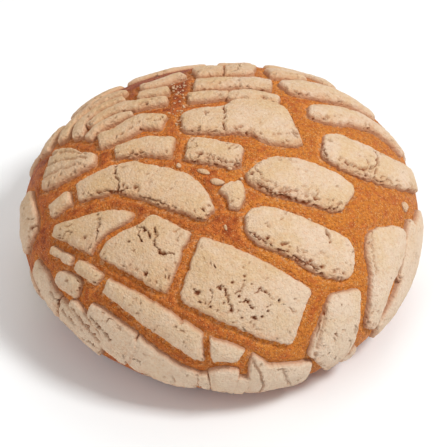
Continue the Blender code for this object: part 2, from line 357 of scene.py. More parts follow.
FRONT_RIBS = (
    Rib("heart", ((-50.8, -21.3, 3.2), (-44.4, -24.1, 7.4), (-37.5, -26.5, 12.4), (-29.4, -29.7, 16.8),
                  (-21.3, -34.9, 18.6), (-12.8, -40.5, 18.9), (0, -45.8, 20.4), (11.8, -50.6, 19.8),
                  (23.7, -53.9, 16.9)), breaks=((2.9, 2.2, 30), (5.18, 2.3, -2))),
    Rib("crescent", ((-51.2, -14.7, 5.6), (-43.4, -13.2, 6.6), (-34.5, -12.2, 9.8), (-26.6, -12.4, 12),
                     (-18.7, -16.2, 13.2), (-10.8, -20.7, 12.8), (-3, -28, 5.2)), breaks=((1.1, 1.4, 0),)),
    Rib("brow", ((-30.6, -2.3, 4.6), (-21.7, -2, 8.4), (-12.8, -3.7, 9.2), (-2, -6.3, 10.4),
                 (5.9, -8.1, 8.8)), breaks=((2.1, 2.6, 0),)),
    Rib("wedge", ((1.4, -17, 8.2), (3.5, -21.1, 6.6), (3.2, -26, 3))),
    Rib("shoulder", ((8.3, -10.9, 9.8), (14.2, -13.1, 14), (25, -15, 15.6), (36.4, -18, 12.3)),
        ends=(22, 14)),
    Rib("cheek", ((5.6, -30, 8.3), (11, -30, 12.6), (19.9, -32.3, 13.4), (29.8, -35.2, 14.8),
                  (38.9, -35.3, 10.3))),
    Rib("jowl", ((36.3, -43.7, 10.9), (36.5, -52, 15.9), (36.9, -59.8, 19), (35, -67.7, 16.4)),
        ends=(-22, 10)),
    Rib("chin", ((-52.2, -26.2, 3), (-45.6, -32.9, 3.6), (-39.8, -38, 4.6), (-35.2, -43, 4.6),
                 (-28.6, -48.3, 6.4), (-19.7, -54.8, 8.2), (-10.8, -60.8, 9), (-4.9, -63.9, 8.6),
                 (1.5, -64.9, 6.4), (6.4, -65.8, 4.2)),
        breaks=((1.2, 1.4, 0), (2.9, 1.4, 0), (7.0, 1.3, -20)), ends=(0, 25)),
    Rib("collar", ((8.2, -72.6, 17), (14.5, -74.6, 15), (23.7, -73.9, 14), (33.2, -70.6, 11.4)),
        ends=(-16, 0)),
    Rib("bib", ((-5.1, -75.9, 10.5), (0.5, -75.7, 12.6), (6.9, -76.3, 12)), ends=(0, -14)),
    Rib("hem", ((-42.4, -47.5, 4.2), (-38.1, -53.2, 8.4), (-32.5, -61.1, 13), (-25.6, -67.4, 13),
                (-16.8, -72.8, 10.4), (-7.7, -75.4, 7.6)), breaks=((2.3, HAIRLINE, 0),)),
    Rib("cuff", ((-52.5, -34.3, 3.6), (-48.8, -37.7, 6.4), (-44, -42.4, 6.2))),
    Rib("fringe", ((-63.1, -24.6, 6), (-61.1, -32.5, 10), (-58.4, -39.7, 9.6), (-53, -48.4, 8.8),
                   (-44.2, -61.4, 8)), breaks=((2.4, HAIRLINE, 0),)),
    Rib("heel", ((-62.6, 1.6, 7), (-63.1, -6.2, 11.5), (-63.1, -12.6, 14.6), (-61.8, -18.4, 11))),
)

TOP_RIBS = (
    Rib("crown", ((-11.8, 6, 9.2), (-4.5, 6.9, 11.8), (2.4, 7.1, 13.4), (9, 8, 20), (15.4, 7.7, 19.2),
                  (20.8, 6.4, 15.6)), ends=(0, -33)),
    Rib("tiara", ((-10.6, 18.4, 5.8), (-3.9, 19, 5.6), (2.6, 19.6, 4))),
    Rib("comb", ((-8.9, 26.1, 7.6), (0, 26.7, 8.4), (7.9, 26.6, 8), (14.8, 25.7, 7.8)), ends=(6, -6)),
    Rib("crest", ((-9.1, 36.3, 8), (-3.9, 37.5, 10.2), (1, 37, 9.2), (6.4, 38.3, 11.6), (10.3, 37.9, 9.6)),
        breaks=((1.9, HAIRLINE, 0),)),
    Rib("temple", ((-35.3, 4, 7.4), (-28.6, 5.7, 7.8), (-22.7, 8.8, 7.8), (-15.6, 7.1, 6.6))),
    Rib("lash", ((-38.5, 6.6, 4), (-35.1, 10.7, 4.4), (-30.1, 12.8, 4.4), (-25, 13.7, 2))),
    Rib("lock", ((-38.4, 13.3, 3.6), (-34.7, 16.9, 5), (-29.6, 18.6, 6), (-22.7, 18, 5.6), (-15.2, 17.9, 5))),
    Rib("braid", ((-41.6, 9.3, 4.6), (-41.4, 16.6, 5), (-36.9, 22.1, 4.6), (-28.2, 24.3, 4))),
    Rib("step", ((-25.2, 23.9, 4.6), (-20.2, 23.9, 5), (-15, 24.1, 5))),
    Rib("ledge", ((-25, 29.4, 5.4), (-19.4, 30.4, 5.8), (-15, 33.6, 5.8), (-11.2, 35.8, 5.4))),
    Rib("plume", ((-46.9, 12.3, 4.6), (-46.3, 18.7, 5), (-41, 26.2, 5.6), (-34.5, 29.2, 5.6),
                  (-27.8, 29, 3.6))),
    Rib("ear", ((-35.1, -2.6, 4), (-41, -1.7, 9.4), (-47.4, 0.8, 15.6), (-52.6, 3.2, 16)), ends=(0, -8)),
    Rib("lobe", ((-55.3, 13.6, 7), (-52.8, 19, 5.4), (-48.6, 24.8, 4.4))),
    Rib("nape", ((27.8, 0, 9.6), (33.5, -0.1, 14.6), (41.4, -0.7, 15.2), (49.3, 0.1, 13.2), (57, 4.5, 10.2),
                 (63.4, 9.6, 8.6))),
    Rib("sweep", ((23.9, 14.8, 6.6), (29.6, 15, 9.4), (37.5, 18, 9.8), (45, 19.2, 7.6), (51.6, 18.2, 6),
                  (57.8, 16, 5))),
    Rib("bonnet", ((17.2, 25.6, 8.4), (23.7, 27.2, 11.4), (31.6, 29, 11), (39.4, 29, 8.6),
                   (47.4, 27.2, 6.6)), ends=(-14, 0)),
    Rib("pompon", ((13, 36.1, 8.4), (18, 37.4, 9.4), (25.4, 38.7, 6.4))),
)

SIDE_RIBS = (
    Rib("sleeve", ((49.8, -19.5, 16.8), (50.3, -28, 18), (49.6, -35.9, 11.4), (50.2, -43.8, 9.4),
                   (51.8, -51.7, 7.4)), ends=(-26, 0)),
    Rib("flank", ((68.6, -0.6, 6), (69, -12, 14), (68.2, -22.7, 17.6), (65.6, -33, 13.6), (62.4, -43.4, 10),
                  (58.2, -51.4, 9))),
    Rib("tail", ((52, -59.2, 8), (48.4, -66.2, 8))),
)


@dataclass(frozen=True)
class Trim:
    """How one plate's edge stands out: torn into holes, round at its corners, or swung in an S at an end."""

    ragged: float = 0.4
    rounding: float = 0.7
    swing: tuple = (0.0, 0.0)


@dataclass(frozen=True)
class BackRing:
    """A rib that runs round the back of the dome at one distance from the top, in plates of uneven length."""

    WANDER_TURN, BREAK_TURN, SWING_TURN, CORNER_TURN = 2.3, 3.1, 2.7, 1.7  # radians from one to the next

    name: str
    distance: float
    span: tuple
    width: float
    plates: int
    gap: float = 2.4
    wave: float = 0.7
    squeeze: float = 0.08
    shift: float = 0.45
    leans: tuple = (8.0, -14.0, 12.0, -6.0, 16.0)
    swing: float = 1.8
    ragged: float = 0.8
    corners: tuple = (1.9, 0.9)  # the corners' mean rounding, and how far it varies

    def _sine(self, turn: float, number: int) -> float:
        """A sine that no two rings share, turned on by so many radians for each number."""
        return math.sin(turn * number + self.distance)

    def rib(self) -> Rib:
        """Lays the ring out as a rib: two path points a plate, wandering in and out by a sine.

        Returns:
            The rib, with its breaks.
        """
        steps = 2 * self.plates
        path = []
        for k in range(steps + 1):
            angle = math.radians(self.span[0] + (self.span[1] - self.span[0]) * k / steps)
            wave = self._sine(self.WANDER_TURN, k)
            reach = self.distance + self.wave * wave
            width = self.width * (1 - self.squeeze * wave)
            path.append((reach * math.cos(angle), reach * math.sin(angle), width))
        breaks = []
        for k in range(1, self.plates):
            place = 2 * k + self.shift * self._sine(self.BREAK_TURN, k)
            breaks.append((place, self.gap, self.leans[k % len(self.leans)]))
        return Rib(self.name, tuple(path), tuple(breaks))

    def trims(self) -> dict[str, Trim]:
        """Shapes each plate's own edge: the two sides of a break swing alike, by a sine of its number.

        Returns:
            Plate name to its trim.
        """
        mean, spread = self.corners
        swings = [self.swing * self._sine(self.SWING_TURN, k) for k in range(self.plates + 1)]
        rounds = [mean + spread * self._sine(self.CORNER_TURN, k) for k in range(self.plates)]
        return {f"{self.name}_{k + 1}": Trim(self.ragged, rounds[k], (swings[k], swings[k + 1]))
                for k in range(self.plates)}


BACK_RINGS = (
    BackRing("back", 56.0, (50.0, 145.0), 10.6, 4),
    BackRing("mantle", 69.2, (21.0, 165.0), 11.4, 5),
    BackRing("train", 83.0, (-5.0, 203.0), 10.2, 6),
)


class RibCurve:
    """A rib's middle line, measured along its length."""

    STEPS = 40
    TANGENT_STEP = 0.2

    def __init__(self, path: Sequence) -> None:
        """Measures the path.

        Args:
            path: (p, q, width) of each point.
        """
        points = np.asarray(path, float)
        first, last = points[0] - points[1], points[-1] - points[-2]
        ahead = (points[0] + 2 * first, points[0] + first)
        behind = (points[-1] + last, points[-1] + 2 * last)
        self.count = len(points)
        self.padded = np.vstack((*ahead, points, *behind))
        self.places = np.linspace(-1.0, self.count, self.STEPS * (self.count + 1) + 1)
        line = self._through(self.places)[:, :2]
        lengths = np.concatenate(((0.0,), np.cumsum(np.linalg.norm(np.diff(line, axis=0), axis=1))))
        self.lengths = lengths - np.interp(0.0, self.places, lengths)

    def _through(self, place: Array) -> Array:
        """A Catmull-Rom curve through the points, straight past its ends.

        Args:
            place: places on the curve, counted in points.

        Returns:
            The (p, q, width) at each place.
        """
        span = np.clip(np.floor(place).astype(int), -1, self.count - 1)
        t = (place - span)[..., None]
        before, start, end, after = (self.padded[span + k] for k in range(1, 5))
        bend = 2 * before - 5 * start + 4 * end - after
        twist = 3 * start - before - 3 * end + after
        return start + 0.5 * t * (end - before + t * (bend + t * twist))

    def length_at(self, place: float) -> float:
        """How far along the rib the place is."""
        return float(np.interp(place, self.places, self.lengths))

    def at(self, length: Array) -> Array:
        """The (p, q, width) at this length."""
        return self._through(np.interp(length, self.lengths, self.places))

    def sheet_place(self, length: Array, across: Array) -> tuple[Array, Array]:
        """The sheet place to the left of the middle line: its tangent, turned by a quarter, times across.

        Args:
            length: how far along the rib.
            across: how far to the left of its middle line.

        Returns:
            Sheet places to the right and to the back.
        """
        step = self.TANGENT_STEP
        ahead = unit(self.at(length + step)[..., :2] - self.at(length - step)[..., :2])
        middle = self.at(length)
        return middle[..., 0] - ahead[..., 1] * across, middle[..., 1] + ahead[..., 0] * across


# ---------------------------------------------------------------- cracks and pits that stand out


@dataclass(frozen=True)
class Crack:
    """A crack in the shell, along a line of sheet places."""

    BENDS = Noise(1.5, 0, 2), Noise(1.5, 40, 2)
    PINCH = Noise(1.1, 80, 2, 1.1)
    OPENING, OPENING_RANGE = 0.55, (0.04, 1.3)  # shares of the width, before and after the pinch
    FLOOR = 0.1  # the share of the opening that is at full depth

    line: tuple
    width: float = 0.55
    wander: float = 0.9
    share: float = 1.0

    def depth_at(self, place: Array) -> Array:
        """How deep in the crack each place is: its share on the line, falling to 0 at a width to the side.

        Args:
            place: (p, q), one row each.

        Returns:
            From 0 to 1, one number a place.
        """
        level = on_floor(place)
        bent = place + self.wander * np.column_stack([bend.at(level) for bend in self.BENDS])
        nearest = np.full(len(place), np.inf)
        for (p0, q0), (p1, q1) in zip(self.line, self.line[1:]):
            start, run = np.array((p0, q0)), np.array((p1 - p0, q1 - q0))
            share = np.clip((bent - start) @ run / (run @ run), 0, 1)
            nearest = np.minimum(nearest, np.linalg.norm(bent - start - share[:, None] * run, axis=1))
        opening = np.clip(self.OPENING + self.PINCH.at(level), *self.OPENING_RANGE)
        return self.share * smoothstep(self.width * opening, self.FLOOR * self.width * opening, nearest)


@dataclass(frozen=True)
class Pit:
    """A burst bubble in the shell."""

    RIM = Noise(0.9, 0, 2, 0.9)
    SQUASH, FLOOR = 1.3, 0.45  # how much shorter it is along q, and the share that is at full depth

    p: float
    q: float
    radius: float

    def depth_at(self, place: Array) -> Array:
        """How deep in the pit each place is: 1 in the middle, falling to 0 at an uneven rim.

        Args:
            place: (p, q), one row each.

        Returns:
            From 0 to 1, one number a place.
        """
        gap = np.hypot(place[:, 0] - self.p, self.SQUASH * (place[:, 1] - self.q))
        gap = gap * (1 + self.RIM.at(on_floor(place)))
        return smoothstep(self.radius, self.FLOOR * self.radius, gap)


FLAWS = {
    "heart_2": (
        Crack(((-23.5, -29.5), (-20.5, -32.0), (-19.0, -35.0), (-17.0, -38.0), (-13.5, -38.5)), 0.65),
        Crack(((-18.5, -31.0), (-18.0, -33.5), (-19.0, -35.0)), 0.55),
        Crack(((-23.0, -31.5), (-22.5, -34.5)), 0.45),
        Pit(-21.5, -43.0, 0.8), Pit(-13.5, -46.0, 0.6), Pit(-26.0, -33.5, 0.5), Pit(-9.8, -38.0, 0.6),
    ),
    "heart_3": (
        Pit(-7.0, -49.0, 1.1), Pit(-0.5, -48.2, 0.6), Pit(2.5, -53.5, 0.8), Pit(7.0, -51.0, 0.75),
        Pit(9.0, -55.0, 0.85), Pit(11.2, -54.5, 0.6), Pit(2.6, -46.4, 0.5), Pit(-3.4, -52.6, 0.45),
        Pit(15.6, -50.0, 0.4), Pit(-2.0, -42.4, 0.35), Pit(6.0, -44.5, 0.5),
        Crack(((-1.5, -48.0), (0.5, -47.5), (1.5, -50.5), (2.5, -53.5)), 0.55),
        Crack(((5.0, -51.5), (7.0, -51.0), (8.6, -52.6)), 0.5),
        Crack(((3.5, -49.5), (5.5, -47.6), (6.2, -45.4)), 0.4),
        Crack(((8.4, -49.4), (10.4, -47.4), (12.6, -49.0)), 0.4),
        Crack(((11.0, -52.6), (13.6, -51.4)), 0.35),
        Pit(4.6, -49.8, 0.45), Pit(0.4, -51.6, 0.4), Pit(12.8, -53.0, 0.45), Pit(5.6, -55.2, 0.4),
        Pit(8.0, -46.6, 0.35),
    ),
    "heart_1": (Crack(((-35.4, -22.4), (-34.4, -26.6), (-35.8, -30.2)), 0.6), Pit(-39.0, -28.8, 0.5)),
    "crescent_2": (
        Crack(((-35.0, -15.4), (-31.0, -16.7), (-27.0, -17.5)), 0.7, 1.1),
        Crack(((-22.5, -20.4), (-20.0, -21.8), (-15.5, -23.8)), 0.7, 1.1),
        Crack(((-29.2, -7.6), (-29.7, -11.0), (-28.6, -14.2), (-29.0, -17.6)), 0.7),
        Pit(-20.6, -13.4, 0.4), Pit(-14.2, -19.6, 0.45),
    ),
    "crown_1": (
        Crack(((0.4, 12.2), (0.9, 8.0), (0.3, 4.4), (0.8, 1.2)), 0.7),
        Pit(-6.5, 2.8, 0.6), Pit(3.6, 2.2, 0.5), Pit(6.8, 1.0, 0.6), Pit(10.6, 0.8, 0.5), Pit(15.4, 1.4, 0.5),
    ),
    "brow_2": (Crack(((-3.5, -8.0), (-0.5, -9.8), (2.5, -11.0), (5.5, -11.0)), 0.9, 1.2),
               Pit(-7.0, -5.0, 0.4)),
    "crest_2": (Crack(((4.4, 41.8), (5.2, 38.0), (4.2, 34.4)), 0.6),),
    "nape_1": (
        Crack(((35.0, -5.4), (37.5, -5.8), (40.5, -5.5), (43.0, -3.0)), 1.0, 1.2),
        Crack(((27.2, 2.6), (27.8, -0.6), (29.0, -4.6)), 0.9, 1.3),
        Pit(37.5, -5.2, 0.6), Pit(40.3, -5.0, 0.7), Pit(42.6, -4.0, 0.6), Pit(35.0, -4.6, 0.5),
        Crack(((44.4, 4.8), (44.9, 0.6), (43.9, -2.4), (44.5, -5.8)), 0.7),
        Crack(((44.5, -5.2), (47.2, -4.6), (50.4, -4.4)), 0.5),
    ),
    "shoulder_1": (Crack(((7.5, -13.5), (9.5, -18.0), (14.0, -20.2), (18.0, -21.2), (24.0, -22.2)), 1.0, 1.4),
                   Crack(((9.0, -12.5), (11.0, -16.0), (15.0, -18.4)), 0.7, 1.4),
                   Pit(20.0, -18.8, 0.6), Pit(26.4, -20.4, 0.55), Pit(31.8, -15.0, 0.45)),
    "cheek_1": (Crack(((7.5, -32.5), (10.5, -34.9), (15.5, -37.0), (21.0, -39.0), (27.0, -40.6)), 0.8, 1.3),
                Pit(12.0, -34.2, 0.6), Pit(24.4, -38.6, 0.6), Crack(((28.4, -29.0), (29.6, -32.6)), 0.5)),
    "fringe_1": (Crack(((-56.6, -37.6), (-55.0, -40.4), (-53.6, -43.4)), 0.7),),
    "fringe_2": (Crack(((-54.4, -42.4), (-52.4, -46.4), (-50.0, -50.4)), 0.8),
                 Crack(((-50.6, -54.8), (-47.0, -56.4), (-44.4, -60.0)), 0.6)),
    "hem_1": (Crack(((-41.6, -50.0), (-38.4, -54.6), (-35.8, -58.4)), 0.8),),
    "hem_2": (Crack(((-34.6, -61.0), (-31.0, -64.2), (-27.4, -66.4)), 0.7),),
    "ear_1": (Crack(((-38.0, 0.0), (-45.0, 4.6), (-51.5, 8.4)), 1.3, 0.6, 0.5),
              Crack(((-38.0, -1.6), (-46.0, 1.4), (-55.0, 4.4)), 1.3, 0.6, 0.5),
              Crack(((-40.0, -3.4), (-47.0, -2.2), (-55.0, -0.4)), 1.2, 0.6, 0.5),
              Crack(((-38.6, 1.4), (-40.6, -1.0)), 0.7)),
    "heel_1": (Crack(((-59.4, -15.0), (-57.4, -15.6), (-55.2, -16.2)), 0.7), Pit(-62.0, -5.0, 0.5)),
    "collar_1": (Crack(((9.5, -66.6), (12.6, -70.4), (14.6, -75.0), (15.0, -80.0)), 1.5, 0.6, 0.5),
                 Crack(((20.0, -69.0), (23.0, -73.0), (27.0, -76.0)), 1.3, 0.6, 0.4)),
    "jowl_1": (Crack(((29.4, -45.0), (30.2, -52.0), (29.8, -59.0), (30.4, -66.0)), 1.5, 0.6, 0.5),
               Pit(29.5, -51.5, 0.9), Pit(35.0, -56.0, 0.6), Pit(39.0, -63.0, 0.5)),
    "fringe_seam_1": (Crack(((-48.4, -45.6), (-45.2, -51.6), (-41.4, -58.0)), 1.0),
                      Crack(((-46.6, -50.6), (-43.4, -52.6)), 0.7)),
    "sleeve_1": (Crack(((43.4, -21.0), (43.0, -26.0), (43.6, -31.4), (45.6, -36.0)), 0.9, 0.9, 0.45),),
}

TRIMS = {
    "shoulder_1": Trim(1.7, 2.8), "cheek_1": Trim(1.3, 4.2), "brow_2": Trim(1.0, 1.2),
    "nape_1": Trim(1.3, 1.4), "crescent_2": Trim(0.8, 1.2), "heart_1": Trim(1.0, 1.0, (0.0, 1.5)),
    "heart_2": Trim(0.4, 1.5, (1.5, 0.0)), "heart_3": Trim(0.4, 1.5), "wedge_1": Trim(0.2, 1.2),
    "crown_1": Trim(0.6, 2.8), "sleeve_1": Trim(0.8, 3.2), "collar_1": Trim(0.9, 1.6), "hem_1": Trim(0.8),
    "temple_1": Trim(0.6), "jowl_1": Trim(0.5, 1.4), "cuff_1": Trim(0.5, 1.8), "bonnet_1": Trim(0.5, 2.0),
    "sweep_1": Trim(0.5, 1.8), "heel_1": Trim(0.7, 2.0), "ear_1": Trim(0.6, 1.6),
} | {name: trim for ring in BACK_RINGS for name, trim in ring.trims().items()}


# ---------------------------------------------------------------- meshes from arrays


FOLD_STEP = 0.002  # points on one such step are one point


def triangles_of_grid(rows: int, columns: int) -> Array:
    """The triangles of a grid of points that closes on itself along its rows.

    Args:
        rows: rings, from first to last.
        columns: points round each ring.

    Returns:
        Three vertex numbers a row, turning the same way all over.
    """
    ring, side = np.meshgrid(np.arange(rows - 1), np.arange(columns), indexing="ij")
    after = (side + 1) % columns
    a, b = ring * columns + side, ring * columns + after
    c, d = (ring + 1) * columns + after, (ring + 1) * columns + side
    return np.concatenate((np.stack((a, b, c), -1).reshape(-1, 3), np.stack((a, c, d), -1).reshape(-1, 3)))


def merge_folds(points: Array, triangles: Array, values: dict) -> tuple[Array, Array, dict]:
    """Joins points that lie on one another, and drops the triangles that this flattens.

    Args:
        points: places in space, one row each.
        triangles: three vertex numbers a row.
        values: what the mesh carries for its material, each with one number a point.

    Returns:
        The fewer points, the triangles and the values.
    """
    keys = np.round(points / FOLD_STEP).astype(np.int64)
    _, first, back = np.unique(keys, axis=0, return_index=True, return_inverse=True)
    triangles = back.reshape(-1)[triangles]
    flat = (triangles == np.roll(triangles, 1, axis=1)).any(axis=1)
    return points[first], triangles[~flat], {name: value[first] for name, value in values.items()}


def add_piece(name: str, points: Array, triangles: Array, values: dict, slot: Slot, nodes: Sequence,
              material: bpy.types.Material) -> bpy.types.Object:
    """Merges arrays and writes them into a smooth mesh object that rides on the bun and stands for its nodes.

    Args:
        name: the piece's name.
        points: places in millimetres, one row each.
        triangles: three vertex numbers a row, turning anticlockwise seen from outside.
        values: what the mesh carries for its material, each with one number a point.
        slot: not used.
        nodes: the CAD nodes that it stands for.
        material: its finish.

    Returns:
        The object, at the origin, with its place in its mesh.
    """
    points, triangles, values = merge_folds(points, triangles, values)
    mesh = bpy.data.meshes.new(name)
    mesh.vertices.add(len(points))
    mesh.vertices.foreach_set("co", (points * MM).astype(np.float32).ravel())
    mesh.loops.add(triangles.size)
    mesh.loops.foreach_set("vertex_index", triangles.astype(np.int32).ravel())
    mesh.polygons.add(len(triangles))
    mesh.polygons.foreach_set("loop_start", np.arange(0, triangles.size, 3, dtype=np.int32))
    mesh.update(calc_edges=True)
    mesh.validate()
    for cast, value in values.items():
        mesh.attributes.new(cast.value, "FLOAT", "POINT").data.foreach_set("value", value.astype(np.float32))
    mesh.shade_smooth()
    piece = bpy.data.objects.new(name, mesh)
    bpy.context.scene.collection.objects.link(piece)
    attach(piece, ROOT_BODY)
    if nodes:
        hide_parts(*nodes)
    mesh.materials.append(material)
    return piece


# ---------------------------------------------------------------- the shell


@dataclass
class Plate:
    """One plate of the shell: a stretch of a rib, with steep torn sides and a soft round top."""

    SEAT_RINGS = 2
    SHOULDER_SHARE = 0.34  # the most of a narrow plate's reach that its shoulder takes
    FULL_CROWN = 4.5  # the reach from which a plate has its whole crown
    BACK_TURN = 40.0, 52.0  # the q over which the torn edges turn from the front ones to the outer ones
    # how torn the edge is: the noise on its facing, and the patches, by mean and spread
    TORN_SIDE, TORN_PATCH, TORN_MIX, TORN_LEAST = Noise(5.0, height=0.15), Noise(7.0, 9), (0.55, 0.45), 0.12
    # how far in the edge goes: at least and at most, and its waves, smooth and torn
    EDGE_IN, EDGE_LIMITS, EDGE_SHARE = 0.25, (-0.12, 1.6), 0.45
    EDGE_BROAD, EDGE_FINE, FINE_HEIGHT = Noise(5.0, 0, 3, 0.62), Noise(1.4, 30, 3), (0.24, 0.26)
    NOTCH, NOTCH_PATCH, NOTCH_DEPTH = Noise(2.6, 77), Noise(9.0), 0.8
    # the crumb's relief
    SWELL, DIMPLE = Noise(7.0, height=0.24), Noise(3.0, 60, 2, 0.18)
    GRIT, GRIT_PATCH = Noise(0.95, 15, 2, 0.12), Noise(5.0, 33)
    RIDGE, RIDGE_SQUASH, RIDGE_SLOPE, RIDGE_HEIGHT = Noise(1.7, 20, 2), np.array((1, 1, 1.5)), 2.4, 0.34
    CRAG, CRAG_RAGGED = Noise(0.9, 44, 2, 0.22), (0.75, 0.5)
    # its pits
    BENDS, BEND = tuple(Noise(1.1, shift, 2) for shift in (3, 23, 43)), 0.75
    HOLE_STRETCH, HOLE_SIZE, HOLE_PATCH = np.array((0.7, 1, 1)), 1.15, Noise(3.2, 50, 2)
    PORE_SHIFT, PORE_SIZE, PORE_DEPTH, PORE_PATCH = 70, 1.5, 0.6, Noise(5.5, 90)
    SPLIT, SPLIT_PATCH, SPLIT_BREAK, SPLIT_DEPTH = Noise(6.5, 120, 2), Noise(8.0, 160), Noise(1.3), 0.7

    name: str
    curve: RibCurve
    start: float
    end: float
    leans: tuple
    thickness: float = 2.4
    crown: float = 0.5
    seat: float = 0.3
    trim: Trim = Trim()
    shoulder: float = 1.25
    shoulder_power: float = 2.1
    spacing: float = 0.34
    wall_rings: int = 11
    sink: float = 0.12
    pit_depth: float = 1.25
    stands_alone: bool = True

    def half_sizes(self) -> tuple[float, float]:
        """Half the plate's length and half its mean width."""
        half_width = float(self.curve.at(np.linspace(self.start, self.end, 9))[:, 2].mean()) / 2
        return (self.end - self.start) / 2, half_width

    def shoulder_width(self) -> float:
        """How far in from the outline the side rounds over into the top."""
        return min(self.shoulder, self.SHOULDER_SHARE * min(self.half_sizes()))

    def outline(self) -> tuple[Array, Array, Array, Array]:
        """A rectangle with round corners, in evenly spaced points, and each one's nearest place on its spine.

        Returns:
            The outline's x and y, along and across the rib, and the spine's.
        """
        half_length, half_width = self.half_sizes()
        corner = min(self.trim.rounding, 0.9 * half_length, 0.9 * half_width)
        up, round_, back = half_width - corner, corner * math.pi / 2, half_length - corner
        quarter = max(12, round((up + round_ + back) / self.spacing))
        run = np.linspace(0.0, up + round_ + back, quarter + 1)
        turn = np.clip((run - up) / corner, 0.0, math.pi / 2)
        x = half_length - corner + corner * np.cos(turn) - np.clip(run - up - round_, 0.0, None)
        y = np.clip(run, 0.0, up) + corner * np.sin(turn)
        x, y = np.concatenate((x, -x[-2::-1])), np.concatenate((y, y[-2::-1]))
        x, y = np.concatenate((x, x[-2:0:-1])), np.concatenate((y, -y[-2:0:-1]))
        reach = min(half_length, half_width)
        spine_x = np.clip(x, reach - half_length, half_length - reach)
        spine_y = np.clip(y, reach - half_width, half_width - reach)
        return x, y, spine_x, spine_y

    def section(self) -> tuple[Array, Array]:
        """The plate cut across: along the seat, up a superelliptic side, and over the crown to the spine.

        Returns:
            Each ring's distance in from the outline, and its height over the seat.
        """
        reach, shoulder = min(self.half_sizes()), self.shoulder_width()
        turn = np.linspace(0.0, math.pi / 2, self.wall_rings)
        side = shoulder * (1 - np.cos(turn) ** (2 / self.shoulder_power))
        rise = self.thickness * np.sin(turn) ** (2 / self.shoulder_power)
        over = np.linspace(shoulder, reach, max(3, round((reach - shoulder) / self.spacing)) + 1)[1:]
        share = (over - shoulder) / (reach - shoulder)
        lift = self.crown * min(1.0, reach / self.FULL_CROWN)
        top = self.thickness + lift * (1 - (1 - share) ** 2)
        inset = np.concatenate(((reach, reach / 2), side, over))
        return inset, np.concatenate(((0.0, 0.0), rise, top))

    def place(self, x: Array, y: Array) -> tuple[Array, Array]:
        """Carries places from the plate's own rectangle along the rib, leaned and swung at its breaks.

        Args:
            x: places along the rectangle, from its middle.
            y: places across it.

        Returns:
            Sheet places to the right and to the back.
        """
        half_length, half_width = self.half_sizes()
        share = (x / half_length + 1) / 2
        length = self.start + (self.end - self.start) * share
        across = y / half_width * self.curve.at(length)[..., 2] / 2
        lean_start, lean_end = (math.tan(math.radians(lean)) for lean in self.leans)
        length = length + across * (lean_start * (1 - share) + lean_end * share)
        swing = np.sin(math.pi * y / half_width)
        length = length + swing * (self.trim.swing[0] * (1 - share) ** 3 + self.trim.swing[1] * share ** 3)
        return self.curve.sheet_place(length, across)

    def surface(self, dome: Dome) -> tuple[Array, Array, dict, Array]:
        """Every point of the plate: outline times section, lifted off the dome, then roughened outwards.

        Args:
            dome: what it lies on.

        Returns:
            Points in space, triangles, what the mesh carries, and the points' sheet places.
        """
        x, y, spine_x, spine_y = self.outline()
        inset, height = self.section()
        reach = min(self.half_sizes())
        rim_place, middle_place = self.place(x, y), self.place(spine_x, spine_y)
        rim, middle = dome.point(*rim_place), np.column_stack(middle_place)
        torn = self._torn(rim, unit(np.column_stack(rim_place) - middle, 1e-9), middle)
        inward = inset[:, None] + self._wobble(rim, torn)[None, :] * (1 - inset[:, None] / reach)
        share = np.clip(inward / reach, 0, 1)
        p, q = self.place(x + (spine_x - x) * share, y + (spine_y - y) * share)
        rings, columns = p.shape
        place, normal = np.stack((p, q), -1).reshape(-1, 2), dome.normal(p, q).reshape(-1, 3)
        lift, edge = np.repeat(height, columns), np.repeat(inset, columns)
        points = dome.point(p, q).reshape(-1, 3) + normal * (self.seat + lift)[:, None]
        side = np.clip(1 - inset / self.shoulder_width(), 0, 1)
        side[:self.SEAT_RINGS] = 0.0
        side = np.repeat(side, columns)
        lateral = np.tile(rim - dome.point(*middle_place), (rings, 1))
        lateral = unit(lateral - normal * np.einsum("ij,ij->i", lateral, normal)[:, None], 1e-6)
        way = unit(normal * (1 - 0.75 * side)[:, None] + lateral * (0.9 * side)[:, None])
        upper = smoothstep(0.25, 1.1, lift)
        torn = np.outer(smoothstep(1.0, 0.7, inset / reach), torn).reshape(-1)
        pit = self._pits(points, place, edge, torn) * upper
        depth = np.minimum(self.pit_depth, 0.55 * np.maximum(lift, 0.3)) * pit
        points = points + way * (self._relief(points, edge, torn) * upper - depth)[:, None]
        # painted shade: the plates darken towards the left, away from the key light
        values = {Cast.PIT: pit, Cast.WALL: smoothstep(0.2, 0.95, side),
                  Cast.TORN: torn * smoothstep(4.5, 1.0, edge), Cast.BAKE_AND_SHADE: leftward(points)}
        return points, triangles_of_grid(rings, columns), values, place

    def _torn(self, rim: Array, out: Array, middle: Array) -> Array:
        """How crumbly the edge is: most where it faces the front, or outwards at the back, and in patches.

        Args:
            rim: the edge in space.
            out: which way it faces on the sheet.
            middle: the spine's sheet places.

        Returns:
            From 0 to 1, one number a column.
        """
        outward = np.einsum("ij,ij->i", out, middle) / np.linalg.norm(middle, axis=1)
        at_back = smoothstep(*self.BACK_TURN, middle[:, 1])
        toward = -out[:, 1] * (1 - at_back) + outward * at_back
        toward = np.clip(toward + self.TORN_SIDE.at(rim), 0, 1)
        mean, spread = self.TORN_MIX
        torn = smoothstep(0.15, 0.75, toward) * (mean + spread * self.TORN_PATCH.at(rim).clip(-1, 1))
        return np.clip(torn + self.TORN_LEAST, 0, 1)

